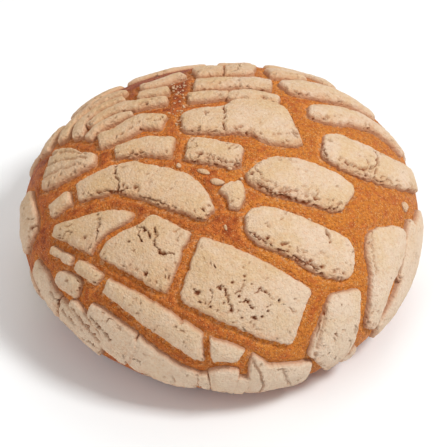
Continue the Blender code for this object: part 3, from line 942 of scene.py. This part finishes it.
    def _wobble(self, rim: Array, torn: Array) -> Array:
        """How far in the edge wanders: broad waves, finer ones where it is torn, and a few notches.

        Args:
            rim: the edge in space.
            torn: how crumbly it is.

        Returns:
            Millimetres, one number a column.
        """
        whole, ragged = self.FINE_HEIGHT
        wobble = self.EDGE_IN + self.EDGE_BROAD.at(rim) + (whole + ragged * torn) * self.EDGE_FINE.at(rim)
        notches = self.NOTCH_DEPTH * smoothstep(0.3, 0.85, self.NOTCH.at(rim))
        wobble += notches * smoothstep(-0.3, 0.4, self.NOTCH_PATCH.at(rim))
        least, most = self.EDGE_LIMITS
        return np.clip(wobble, least, min(most, self.EDGE_SHARE * min(self.half_sizes())))

    def _relief(self, points: Array, edge: Array, torn: Array) -> Array:
        """The crumb's height: swells and dimples, grit in patches, and sharp ridges on the torn edge.

        Args:
            points: places in space, one row each.
            edge: how far in from the outline each is.
            torn: how crumbly each place is.

        Returns:
            Millimetres outwards, one number a point.
        """
        relief = self.SWELL.at(points) + self.DIMPLE.at(points) - self.sink
        relief += self.GRIT.at(points) * smoothstep(-0.6, 0.5, self.GRIT_PATCH.at(points))
        ridges = 1 - self.RIDGE_SLOPE * np.abs(self.RIDGE.at(points * self.RIDGE_SQUASH))
        crag = (self.RIDGE_HEIGHT * ridges + self.CRAG.at(points)) * torn * smoothstep(3.6, 0.5, edge)
        whole, ragged = self.CRAG_RAGGED
        return relief + crag * (whole + ragged * self.trim.ragged)

    def _pits(self, points: Array, place: Array, edge: Array, torn: Array) -> Array:
        """How deep in a pit each point is: torn holes near the edge, pores, splits, and the named flaws.

        Args:
            points: places in space, one row each.
            place: their sheet places.
            edge: how far in from the outline each is.
            torn: how crumbly each place is.

        Returns:
            From 0 to 1, one number a point.
        """
        bent = points + self.BEND * np.column_stack([bend.at(points) for bend in self.BENDS])
        near, number = GRAIN.cells(bent * self.HOLE_STRETCH, self.HOLE_SIZE)
        band = smoothstep(3.8, 1.6, edge) * torn
        chance = self.trim.ragged * band * smoothstep(-0.35, 0.35, self.HOLE_PATCH.at(points))
        holes = smoothstep(0.6, 0.2, near) * smoothstep(-0.02, 0.12, chance - number)
        far, lot = GRAIN.cells(bent + self.PORE_SHIFT, self.PORE_SIZE)
        chosen = lot < 0.04 + 0.3 * smoothstep(-0.1, 0.6, self.PORE_PATCH.at(points))
        pores = smoothstep(0.34, 0.08, far) * chosen * smoothstep(0.8, 2.0, edge) * self.PORE_DEPTH
        split = smoothstep(0.05, 0.01, np.abs(self.SPLIT.at(points)))
        patch = smoothstep(0.1, 0.45, self.SPLIT_PATCH.at(points))
        split *= patch * smoothstep(-0.2, 0.2, self.SPLIT_BREAK.at(bent))
        depth = np.maximum(np.maximum(holes, pores), self.SPLIT_DEPTH * split)
        for flaw in FLAWS.get(self.name, ()):
            depth = np.maximum(depth, flaw.depth_at(place))
        return depth

    def build(self, dome: Dome, material: bpy.types.Material) -> tuple[bpy.types.Object, Array]:
        """Makes the plate's piece.

        Args:
            dome: what it lies on.
            material: the baked paste.

        Returns:
            The object, and the sheet places that it covers.
        """
        points, triangles, values, place = self.surface(dome)
        nodes = (self.name,) if self.stands_alone else ()
        name = f"shell_{self.name}"
        return add_piece(name, points, triangles, values, Slot.SHELL, nodes, material), place


def plates_of(rib: Rib) -> Iterator[Plate]:
    """Each plate of the rib, named after it and counted from its start.

    Args:
        rib: the rib to break.

    Returns:
        The plates, in order.
    """
    curve = RibCurve(rib.path)
    edges = [(0.0, rib.ends[0])]
    for place, gap, lean in rib.breaks:
        middle = curve.length_at(place)
        half = gap / 2 if gap > HAIRLINE else -HAIRLINE_LAP
        edges += [(middle - half, lean), (middle + half, lean)]
    edges.append((curve.length_at(len(rib.path) - 1), rib.ends[1]))
    for k in range(0, len(edges), 2):
        (start, lean_start), (end, lean_end) = edges[k], edges[k + 1]
        name = f"{rib.name}_{k // 2 + 1}"
        yield Plate(name, curve, start, end, (lean_start, lean_end), trim=TRIMS.get(name, Trim()))


SEAMS = (
    Rib("crown_brim", ((1.0, 18.6, 4.4), (6.0, 18.6, 7.0), (11.5, 18.2, 6.4), (16.5, 16.6, 4.0))),
    Rib("sleeve_seam", ((60.0, -11.4, 4.6), (60.4, -18.0, 6.2), (59.8, -26.0, 5.6), (58.0, -33.4, 2.8))),
    Rib("hem_seam", ((-34.0, -66.8, 3.4), (-30.6, -63.2, 4.8), (-27.0, -59.4, 3.2))),
    Rib("bib_seam", ((7.6, -72.4, 5.2), (7.2, -76.0, 6.8), (6.6, -79.6, 6.6), (6.4, -82.4, 4.6))),
    Rib("hem_bib_seam", ((-6.6, -71.4, 3.8), (-6.4, -75.2, 5.8), (-6.6, -79.0, 4.8))),
    Rib("fringe_seam", ((-49.2, -43.2, 2.6), (-46.9, -47.5, 5.0), (-43.6, -54.0, 5.6), (-39.2, -61.0, 5.0),
                        (-34.4, -67.0, 3.4))),
)


@dataclass
class Shell:
    """The whole shell: every rib's plates, the low seams that join some, and where they cover the crust."""

    dome: Dome
    seam_thickness: float = 2.5
    covered: list = field(default_factory=list)

    def build(self, material: bpy.types.Material) -> int:
        """Makes every plate.

        Args:
            material: the baked paste.

        Returns:
            How many triangles the plates have in all.
        """
        total = 0
        ribs = FRONT_RIBS + TOP_RIBS + SIDE_RIBS + tuple(ring.rib() for ring in BACK_RINGS)
        plates = [plate for rib in ribs for plate in plates_of(rib)]
        plates += [replace(plate, thickness=self.seam_thickness, stands_alone=False)
                   for seam in SEAMS for plate in plates_of(seam)]
        for plate in plates:
            piece, place = plate.build(self.dome, material)
            self.covered.append(place)
            total += len(piece.data.polygons)
            LOG.info("%s: %d triangles", piece.name, len(piece.data.polygons))
        return total


@dataclass
class CoverMap:
    """How far each place of the sheet is from the nearest plate, on a square grid."""

    covered: Sequence
    reach: float
    cell: float = 0.5
    rounds: int = 18

    def distances(self) -> Array:
        """Spreads distances outwards from the plates, cell by cell, straight or diagonally.

        Returns:
            The grid, 0 under a plate.
        """
        size = int(2 * self.reach / self.cell) + 1
        grid = np.full((size, size), float(self.rounds))
        for place in self.covered:
            column, row = ((place + self.reach) / self.cell).astype(int).clip(0, size - 1).T
            grid[row, column] = 0.0
        for _ in range(self.rounds):
            wide = np.pad(grid, 1, constant_values=float(self.rounds))
            for down, right in np.ndindex(3, 3):
                step = self.cell * math.hypot(down - 1, right - 1)
                grid = np.minimum(grid, wide[down:down + size, right:right + size] + step)
        return grid

    def at(self, p: Array, q: Array) -> Array:
        """Reads the grid, blended between the four nearest cells.

        Args:
            p: sheet places to the right.
            q: sheet places to the back.

        Returns:
            The distance to the nearest plate at each.
        """
        grid = self.distances()
        column = np.clip((p + self.reach) / self.cell, 0, grid.shape[1] - 2)
        row = np.clip((q + self.reach) / self.cell, 0, grid.shape[0] - 2)
        left, low = column.astype(int), row.astype(int)
        x, y = column - left, row - low
        near = grid[low, left] * (1 - x) + grid[low, left + 1] * x
        far = grid[low + 1, left] * (1 - x) + grid[low + 1, left + 1] * x
        return near * (1 - y) + far * y


@dataclass
class Crust:
    """The bun's browned crust, which swells a little between the plates."""

    dome: Dome
    rings: int = 262
    sides: int = 368
    base_rings: int = 5
    lift: float = 0.8
    swell: float = 0.7
    swell_gap: tuple = (0.2, 1.6)  # how wide a gap must be for the crust to start and to end swelling
    near_gap: tuple = (2.4, 0.2)  # how near a plate must be for its painted light and dusting to show on the crust, and to show in full
    base_fade: float = 9.0  # how far up from the base the crust goes in to the dome's own outline

    WAVES, PUCKER, DRIFT = Noise(7.0, 11, 1, 0.16), Noise(2.0, 70, 3, 0.15), Noise(12.0, 5, 3, 0.34)
    POLE = 1e-6  # the radius inside which the crust is its own top

    def build(self, cover: CoverMap, material: bpy.types.Material) -> bpy.types.Object:
        """Makes the crust: the dome's outline turned about Z and roughened, closed by a flat underside.

        Args:
            cover: where the plates lie.
            material: the browned crust.

        Returns:
            The object.
        """
        edge = self.dome.sheet_radius()
        distance = np.linspace(0.0, edge, self.rings)
        turn = np.linspace(0.0, 2 * math.pi, self.sides, endpoint=False)
        p, q = np.outer(distance, np.cos(turn)), np.outer(distance, np.sin(turn))
        radius = np.hypot(p, q)
        safe_p = np.where(radius < self.POLE, self.POLE, p)
        base = self.dome.point(safe_p, q).reshape(-1, 3)
        normal = self.dome.normal(safe_p, q).reshape(-1, 3)
        gap = cover.at(p.reshape(-1), q.reshape(-1))
        over_base = smoothstep(edge, edge - self.base_fade, radius.reshape(-1))
        rough = self.WAVES.at(base) + self.PUCKER.at(base)
        lift = (self.lift + self.swell * smoothstep(*self.swell_gap, gap) + rough) * over_base
        lift = np.where(radius.reshape(-1) < self.POLE, self.lift + self.swell, lift)
        upper = base + normal * lift[:, None]
        lower = self._underside(base.reshape(self.rings, self.sides, 3)[-1])
        points = np.concatenate((upper, lower))
        near = np.concatenate((smoothstep(*self.near_gap, gap), np.zeros(len(lower))))
        values = {Cast.NEAR: near, Cast.BAKE_AND_SHADE: self._bake_and_shade(points)}
        triangles = triangles_of_grid(self.rings + self.base_rings, self.sides)[:, ::-1]
        return add_piece("bun_crust", points, triangles, values, Slot.CRUST, ("bun",), material)

    def _underside(self, rim: Array) -> Array:
        """Closes the base by rings from its edge in to its middle, all flat on the floor.

        Args:
            rim: the base's edge.

        Returns:
            The rings' points, one row each.
        """
        shares = np.linspace(1.0, 0.0, self.base_rings + 1)[1:]
        rings = rim[None] * np.stack((shares, shares, np.ones_like(shares)), -1)[:, None, :]
        rings[..., 2] = 0.0
        return rings.reshape(-1, 3)

    def _bake_and_shade(self, points: Array) -> Array:
        """How dark each place is, from browner bake and from painted shade that deepens to the left: darkest
        at the left of the top, lightest at the right.

        Args:
            points: places in space, one row each.

        Returns:
            From 0 to 1, one number a point.
        """
        x, y, z = points.T
        crown = smoothstep(2.0, 26.0, y) * smoothstep(12.0, -14.0, x)
        under = smoothstep(9.0, 1.0, z)
        drift = self.DRIFT.at(points)
        middle = 0.2 * np.exp(-((x + 1.0) ** 2 + (y + 27.0) ** 2) / 90.0)
        return np.clip(0.1 + 0.48 * leftward(points) + 0.36 * crown + 0.3 * under + middle + drift, 0, 1)


@dataclass
class Crumbs:
    """Broken bits of the shell that lie on the bare crust.

    bits is (p, q, long, short, degrees) of each larger one. drift is the spans of p, q and size that the fine
    ones are drawn from.
    """

    dome: Dome
    bits: tuple = ((-1.4, -17.0, 2.1, 1.1, 15), (-5.2, -13.4, 1.9, 0.8, 20), (-12.2, -10.8, 0.9, 0.7, 50),
                   (56.4, -9.0, 1.5, 1.3, 80), (0.9, -31.2, 0.9, 0.4, 75), (-9.0, -33.0, 0.6, 0.4, 30),
                   (24.0, -26.8, 0.6, 0.45, 40), (2.0, -12.2, 0.7, 0.5, 10), (33.0, 43.5, 1.0, 0.7, 55),
                   (5.2, -15.6, 0.5, 0.4, 30), (-20.0, 45.5, 1.1, 0.8, 5), (8.0, 64.0, 0.9, 0.7, 35))
    drift: tuple = ((-15.4, -10.6), (3.0, 34.0), (0.2, 0.5))
    drift_count: int = 60
    rows: int = 8
    columns: int = 12
    lift: float = 1.65
    flatness: float = 0.75

    KNOBS = Noise(1.0, 0, 2, 0.35)

    def build(self, material: bpy.types.Material) -> bpy.types.Object:
        """Makes one mesh of the larger crumbs and a seeded drift: rough ellipsoids, half sunk in the crust.

        Args:
            material: the baked paste.

        Returns:
            The object.
        """
        around = np.arange(self.columns) * 2 * math.pi / self.columns
        down, turn = np.meshgrid(np.linspace(0, math.pi, self.rows), around, indexing="ij")
        ball = np.stack((np.sin(down) * np.cos(turn), np.sin(down) * np.sin(turn), np.cos(down)), -1)
        ball = ball.reshape(-1, 3)
        faces = triangles_of_grid(self.rows, self.columns)[:, ::-1]
        points, triangles = [], []
        rng = np.random.default_rng(SEED)
        drift = [[rng.uniform(*span) for span in self.drift] for _ in range(self.drift_count)]
        fine = tuple((p, q, size, 0.7 * size, 90 * size) for p, q, size in drift)
        for p, q, long, short, degrees in self.bits + fine:
            place = np.array((p,)), np.array((q,))
            out = self.dome.normal(*place)[0]
            angle = math.radians(degrees)
            along = np.cross(out, (math.sin(angle), math.cos(angle), 0.3))
            along /= np.linalg.norm(along)
            axes = np.stack((along * long, np.cross(out, along) * short, out * self.flatness * short))
            middle = self.dome.point(*place)[0] + out * self.lift
            knobs = 1 + self.KNOBS.at(ball * 1.1 + 10 * p)
            triangles.append(faces + len(ball) * len(points))
            points.append(middle + (ball * knobs[:, None]) @ axes)
        points = np.concatenate(points)
        levels = {Cast.PIT: 0.0, Cast.WALL: 0.3, Cast.TORN: 0.5, Cast.BAKE_AND_SHADE: 0.6}
        values = {cast: np.full(len(points), level) for cast, level in levels.items()}
        return add_piece("crumbs", points, np.concatenate(triangles), values, Slot.SHELL, (), material)


# ---------------------------------------------------------------- finishes


@dataclass(frozen=True)
class Wire:
    """A short hand for laying shader nodes in one tree."""

    tree: bpy.types.NodeTree

    def node(self, kind: str, settings: dict | None = None, **inputs: object) -> bpy.types.Node:
        """Adds a node.

        Args:
            kind: Blender's name of it.
            settings: its own properties.
            inputs: socket names, with _ for a space, to a value or to another node's output.

        Returns:
            The node.
        """
        made = self.tree.nodes.new(kind)
        for key, value in (settings or {}).items():
            setattr(made, key, value)
        for key, value in inputs.items():
            self.feed(made.inputs[key.replace("_", " ")], value)
        return made

    def feed(self, socket: bpy.types.NodeSocket, value: object) -> None:
        """Sets a socket, or links an output to it.

        Args:
            socket: a node's input.
            value: a plain value, or another node's output.
        """
        if isinstance(value, bpy.types.NodeSocket):
            self.tree.links.new(value, socket)
        else:
            socket.default_value = value

    def math(self, operation: str, *values: object) -> bpy.types.NodeSocket:
        """One sum.

        Args:
            operation: Blender's name of it.
            values: the numbers or outputs that it takes.

        Returns:
            Its result.
        """
        made = self.node("ShaderNodeMath", {"operation": operation})
        for socket, value in zip(made.inputs, values):
            self.feed(socket, value)
        return made.outputs[0]

    def times(self, first: object, second: object) -> bpy.types.NodeSocket:
        """The product of two numbers or outputs."""
        return self.math("MULTIPLY", first, second)

    def ramp(self, value: object, low: float, high: float, to_low: float = 0.0,
             to_high: float = 1.0) -> bpy.types.NodeSocket:
        """A value carried smoothly from the range low to high to another one, and held at its ends."""
        return self.node("ShaderNodeMapRange", {"interpolation_type": "SMOOTHSTEP"}, Value=value,
                         From_Min=low, From_Max=high, To_Min=to_low, To_Max=to_high).outputs[0]

    def noise(self, scale: float, detail: float, roughness: float) -> bpy.types.NodeSocket:
        """Noise in the object's own space, with scale in waves a metre."""
        where = self.node("ShaderNodeTexCoord").outputs["Object"]
        return self.node("ShaderNodeTexNoise", Vector=where, Scale=scale, Detail=detail,
                         Roughness=roughness).outputs["Fac"]

    def cast(self, name: Cast) -> bpy.types.NodeSocket:
        """One of the mesh's own attributes."""
        return self.node("ShaderNodeAttribute", {"attribute_name": name.value}).outputs["Fac"]

    def coats(self, colour: object, *coats: tuple) -> bpy.types.NodeSocket:
        """Colours laid over one another, each blended over what is under it by its share.

        Args:
            colour: the lowest one.
            coats: (share, colour) of each one over it, from the lowest.

        Returns:
            The colour seen.
        """
        for share, coat in coats:
            made = self.node("ShaderNodeMix", {"data_type": "RGBA"})
            sockets = {socket.identifier: socket for socket in (*made.inputs, *made.outputs)}
            for key, value in (("Factor_Float", share), ("A_Color", colour), ("B_Color", coat)):
                self.feed(sockets[key], value)
            colour = sockets["Result_Color"]
        return colour


@dataclass(frozen=True)
class FineCrumb:
    """The node group of fine crumb that both finishes use: its height, and scattered specks."""

    name: str = "fine_crumb"

    def build(self) -> bpy.types.NodeTree:
        """Makes the group: noise and the hollows of cells added for the height, and cells cut into specks.

        Returns:
            The group, with Size and Specks in, and Height and Speck out.
        """
        tree = bpy.data.node_groups.new(self.name, "ShaderNodeTree")
        for name, way in (("Size", "INPUT"), ("Specks", "INPUT"), ("Height", "OUTPUT"), ("Speck", "OUTPUT")):
            tree.interface.new_socket(name, in_out=way, socket_type="NodeSocketFloat")
        wire = Wire(tree)
        entry, leave = tree.nodes.new("NodeGroupInput"), tree.nodes.new("NodeGroupOutput")
        where = wire.node("ShaderNodeTexCoord").outputs["Object"]
        scale = wire.math("DIVIDE", 1.0, entry.outputs["Size"])
        coarse = wire.node("ShaderNodeTexNoise", Vector=where, Scale=scale, Detail=4.0, Roughness=0.62)
        cells = wire.node("ShaderNodeTexVoronoi", {"feature": "F1"}, Vector=where,
                          Scale=wire.times(scale, 1.6), Randomness=1.0)
        hollow = wire.ramp(cells.outputs["Distance"], 0.0, 0.75)
        height = wire.math("ADD", wire.times(coarse.outputs["Fac"], 0.7), wire.times(hollow, 0.3))
        lot = wire.node("ShaderNodeSeparateColor", Color=cells.outputs["Color"]).outputs[0]
        chosen = wire.math("LESS_THAN", lot, entry.outputs["Specks"])
        speck = wire.times(wire.ramp(cells.outputs["Distance"], 0.42, 0.2), chosen)
        wire.feed(leave.inputs["Height"], height)
        wire.feed(leave.inputs["Speck"], speck)
        return tree


@dataclass(frozen=True)
class Finish(ABC):
    """What both finishes share: one shader, over fine crumb that stands up as a bump, in metres."""

    crumb: bpy.types.NodeTree
    name: str = "finish"
    roughness: float = 0.9
    shine: float = 0.2
    crumb_size: float = 0.001
    specks: float = 0.2
    bump: float = 0.0005

    @abstractmethod
    def colour(self, wire: Wire, speck: bpy.types.NodeSocket) -> bpy.types.NodeSocket:
        """The finish's own colour, given where the crumb has specks."""

    def build(self) -> bpy.types.Material:
        """Makes the material: the finish's colour, roughness and shine, and the crumb's height as a bump.

        Returns:
            The material.
        """
        material = bpy.data.materials.new(self.name)
        material.use_nodes = True
        wire = Wire(material.node_tree)
        shader = material.node_tree.nodes["Principled BSDF"]
        crumb = wire.node("ShaderNodeGroup", {"node_tree": self.crumb}, Size=self.crumb_size,
                          Specks=self.specks)
        bump = wire.node("ShaderNodeBump", Strength=1.0, Distance=self.bump, Height=crumb.outputs["Height"])
        wire.feed(shader.inputs["Base Color"], self.colour(wire, crumb.outputs["Speck"]))
        wire.feed(shader.inputs["Normal"], bump.outputs["Normal"])
        shader.inputs["Roughness"].default_value = self.roughness
        shader.inputs["Specular IOR Level"].default_value = self.shine
        return material


@dataclass(frozen=True)
class BakedPaste(Finish):
    """The shell's finish: matte, pale sugar paste that is peach on its sides and brown in its pores."""

    name: str = "baked_paste"
    pale: tuple = linear_colour("DABFA6")
    cream: tuple = linear_colour("D1AF84")
    # crest: pale flecks, partly the crumb's pale tone and partly a painted highlight
    crest: tuple = linear_colour("E8D1B5")
    peach: tuple = linear_colour("CE9670")
    toasted: tuple = linear_colour("A05C2E")
    burnt: tuple = linear_colour("7E3A1A")
    honey: tuple = linear_colour("C59A66")
    milky: tuple = linear_colour("DCC7B2")
    rim_top: float = 0.045
    rim_foot: float = 0.018

    def colour(self, wire: Wire, speck: bpy.types.NodeSocket) -> bpy.types.NodeSocket:
        """Cream in clouds, honey as painted shade towards the left and milky at the rim, then crumb with pale
        flecks that are partly a painted highlight, torn edges and pits.

        Args:
            wire: lays the material's nodes.
            speck: where the crumb has specks.

        Returns:
            The colour.
        """
        broad = wire.ramp(wire.noise(120.0, 4.0, 0.6), 0.34, 0.68)
        mottled = wire.ramp(wire.noise(520.0, 4.0, 0.6), 0.38, 0.68)
        fine = wire.noise(1150.0, 3.0, 0.55)
        where = wire.node("ShaderNodeTexCoord").outputs["Object"]
        height = wire.node("ShaderNodeSeparateXYZ", Vector=where).outputs["Z"]
        wall, torn, pit = wire.cast(Cast.WALL), wire.cast(Cast.TORN), wire.cast(Cast.PIT)
        return wire.coats(
            self.pale,
            (wire.times(broad, 0.8), self.cream),
            (wire.times(mottled, 0.2), self.cream),
            # honey: painted shade, deepening towards the left
            (wire.times(wire.cast(Cast.BAKE_AND_SHADE), 0.38), self.honey),
            (wire.ramp(height, self.rim_top, self.rim_foot, 0.0, 0.6), self.milky),
            (wire.ramp(fine, 0.5, 0.66, 0.0, 0.26), self.peach),
            # pale flecks at random in the fine grain: partly pale crumb, partly a painted highlight
            (wire.ramp(fine, 0.5, 0.34, 0.0, 0.26), self.crest),
            (wire.times(torn, wire.ramp(mottled, 0.0, 1.0, 0.12, 0.5)), self.peach),
            (wire.times(wall, 0.42), self.peach),
            (wire.times(wire.ramp(wall, 0.8, 1.0), 0.4), self.toasted),
            (wire.times(pit, 0.8), self.toasted),
            (wire.ramp(pit, 0.5, 1.0, 0.0, 0.6), self.burnt),
            (wire.times(speck, 0.16), self.peach),
        )


@dataclass(frozen=True)
class BrownedCrust(Finish):
    """The bun's finish: orange-tan to red-brown, satin, with a fine light crumb."""

    name: str = "browned_crust"
    golden: tuple = linear_colour("D17E2E")
    orange: tuple = linear_colour("C4682A")
    brown: tuple = linear_colour("8F3B13")
    light: tuple = linear_colour("F0C48A")
    painted_gap_light: tuple = linear_colour("F39C42")
    dusting: tuple = linear_colour("DFB489")
    roughness: float = 0.62
    shine: float = 0.22
    crumb_size: float = 0.0009
    specks: float = 0.45
    bump: float = 0.001

    def colour(self, wire: Wire, speck: bpy.types.NodeSocket) -> bpy.types.NodeSocket:
        """Golden to brown by how baked and shaded it is, lighter near the plates as painted light against the
        gaps' shade, and dusted near them, with light grains and dark.

        Args:
            wire: lays the material's nodes.
            speck: where the crumb has specks.

        Returns:
            The colour.
        """
        near = wire.cast(Cast.NEAR)
        mottled = wire.ramp(wire.noise(420.0, 4.0, 0.6), 0.36, 0.66)
        level = wire.math("ADD", wire.cast(Cast.BAKE_AND_SHADE), wire.times(wire.math("SUBTRACT", mottled, 0.5), 0.55))
        level = wire.math("MAXIMUM", wire.math("MINIMUM", level, 1.0), 0.0)
        spilled = wire.ramp(wire.noise(800.0, 3.0, 0.6), 0.48, 0.64, 0.0, 0.6)
        return wire.coats(
            self.golden,
            (wire.ramp(level, 0.0, 0.5), self.orange),
            (wire.ramp(level, 0.45, 1.0), self.brown),
            # painted light: the crust near the plates is lightened against the shade of the narrow gaps
            (wire.times(near, 0.45), self.painted_gap_light),
            (wire.times(wire.math("POWER", near, 3.0), spilled), self.dusting),
            (wire.times(speck, wire.ramp(level, 0.2, 0.9, 0.55, 0.3)), self.light),
            (wire.ramp(wire.noise(1300.0, 3.0, 0.6), 0.56, 0.40, 0.0, 0.42), self.brown),
        )


# ---------------------------------------------------------------- the studio


@dataclass(frozen=True)
class SoftLight:
    """A square lamp that looks at the bun."""

    name: str
    azimuth: float
    elevation: float
    distance: float
    side: float
    watts: float
    tint: tuple = (1.0, 1.0, 1.0)

    def build(self, target: Vector) -> bpy.types.Object:
        """Makes the lamp, round from -Y by azimuth and up by elevation, in metres and degrees.

        Args:
            target: what it looks at.

        Returns:
            The lamp.
        """
        data = bpy.data.lights.new(self.name, "AREA")
        data.shape, data.size, data.energy, data.color = "SQUARE", self.side, self.watts, self.tint
        lamp = bpy.data.objects.new(self.name, data)
        lamp.matrix_world = looking_from(target, self.azimuth, self.elevation, self.distance)
        bpy.context.scene.collection.objects.link(lamp)
        return lamp


def looking_from(target: Vector, azimuth: float, elevation: float, distance: float) -> Matrix:
    """Where a lamp or camera stands, turned to face its target.

    Args:
        target: what it looks at.
        azimuth: degrees round the target from -Y.
        elevation: degrees up.
        distance: metres away.

    Returns:
        Its place and turn.
    """
    turn, rise = math.radians(azimuth), math.radians(elevation)
    out = Vector((math.sin(turn) * math.cos(rise), -math.cos(turn) * math.cos(rise), math.sin(rise)))
    return Matrix.Translation(target + out * distance) @ out.to_track_quat("Z", "Y").to_matrix().to_4x4()


@dataclass(frozen=True)
class Studio:
    """A plain pale floor, soft light and the camera."""

    target: tuple = (0.00029, -0.00199, 0.02003)
    elevation: float = 45.2
    distance: float = 0.62
    lens: float = 171.1
    sensor: float = 36.0
    floor_side: float = 6.0
    floor_colour: tuple = (0.93, 0.93, 0.93, 1.0)
    floor_roughness: float = 0.8
    world_colour: tuple = (1.0, 1.0, 1.0, 1.0)
    world_strength: float = 0.42
    lights: tuple = (
        SoftLight("key", 75.0, 55.0, 1.1, 0.28, 8.3, (0.96, 0.99, 1.0)),
        SoftLight("fill", -50.0, 40.0, 1.4, 1.0, 4.4, (1.0, 0.97, 0.94)),
        SoftLight("rim", 170.0, 45.0, 1.3, 0.9, 4.0),
    )

    def build(self) -> None:
        """Makes the floor, the world, the lamps and the camera."""
        self._floor()
        world = bpy.data.worlds.new("studio")
        world.use_nodes = True
        sky = world.node_tree.nodes["Background"].inputs
        sky["Color"].default_value, sky["Strength"].default_value = self.world_colour, self.world_strength
        scene = bpy.context.scene
        scene.world = world
        scene.view_settings.view_transform = "Standard"
        for light in self.lights:
            light.build(Vector(self.target))
        data = bpy.data.cameras.new("camera")
        data.sensor_width, data.lens = self.sensor, self.lens
        camera = bpy.data.objects.new("camera", data)
        camera.matrix_world = looking_from(Vector(self.target), 0.0, self.elevation, self.distance)
        scene.collection.objects.link(camera)
        scene.camera = camera

    def _floor(self) -> None:
        """Makes a wide pale floor at the bun's base."""
        half = self.floor_side / 2
        mesh = bpy.data.meshes.new("floor")
        corners = [(-half, -half, 0), (half, -half, 0), (half, half, 0), (-half, half, 0)]
        mesh.from_pydata(corners, [], [(0, 1, 2, 3)])
        material = bpy.data.materials.new("pale_floor")
        material.use_nodes = True
        shader = material.node_tree.nodes["Principled BSDF"]
        shader.inputs["Base Color"].default_value = self.floor_colour
        shader.inputs["Roughness"].default_value = self.floor_roughness
        mesh.materials.append(material)
        floor = bpy.data.objects.new("floor", mesh)
        bpy.context.scene.collection.objects.link(floor)
        floor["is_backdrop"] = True


def write_size() -> None:
    """Gathers the CAD's box and the visual model's box, in metres, and keeps neither."""
    boxes = {"cad": CAD_BOX, "visual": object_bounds()}
    {name: [[float(v) for v in corner] for corner in box] for name, box in boxes.items()}


def main() -> None:
    """Builds the finishes, the shell, the crust, the crumbs and the studio, in this order."""
    logging.basicConfig(level=logging.INFO, format="%(name)s: %(message)s")
    dome, crumb = Dome(), FineCrumb().build()
    paste, browned = BakedPaste(crumb).build(), BrownedCrust(crumb).build()
    shell = Shell(dome)
    LOG.info("shell: %d triangles", shell.build(paste))
    crust = Crust(dome).build(CoverMap(shell.covered, dome.sheet_radius() + 2.0), browned)
    LOG.info("%s: %d triangles", crust.name, len(crust.data.polygons))
    crumbs = Crumbs(dome).build(paste)
    LOG.info("%s: %d triangles", crumbs.name, len(crumbs.data.polygons))
    Studio().build()
    write_size()


if __name__ == "__main__":
    main()
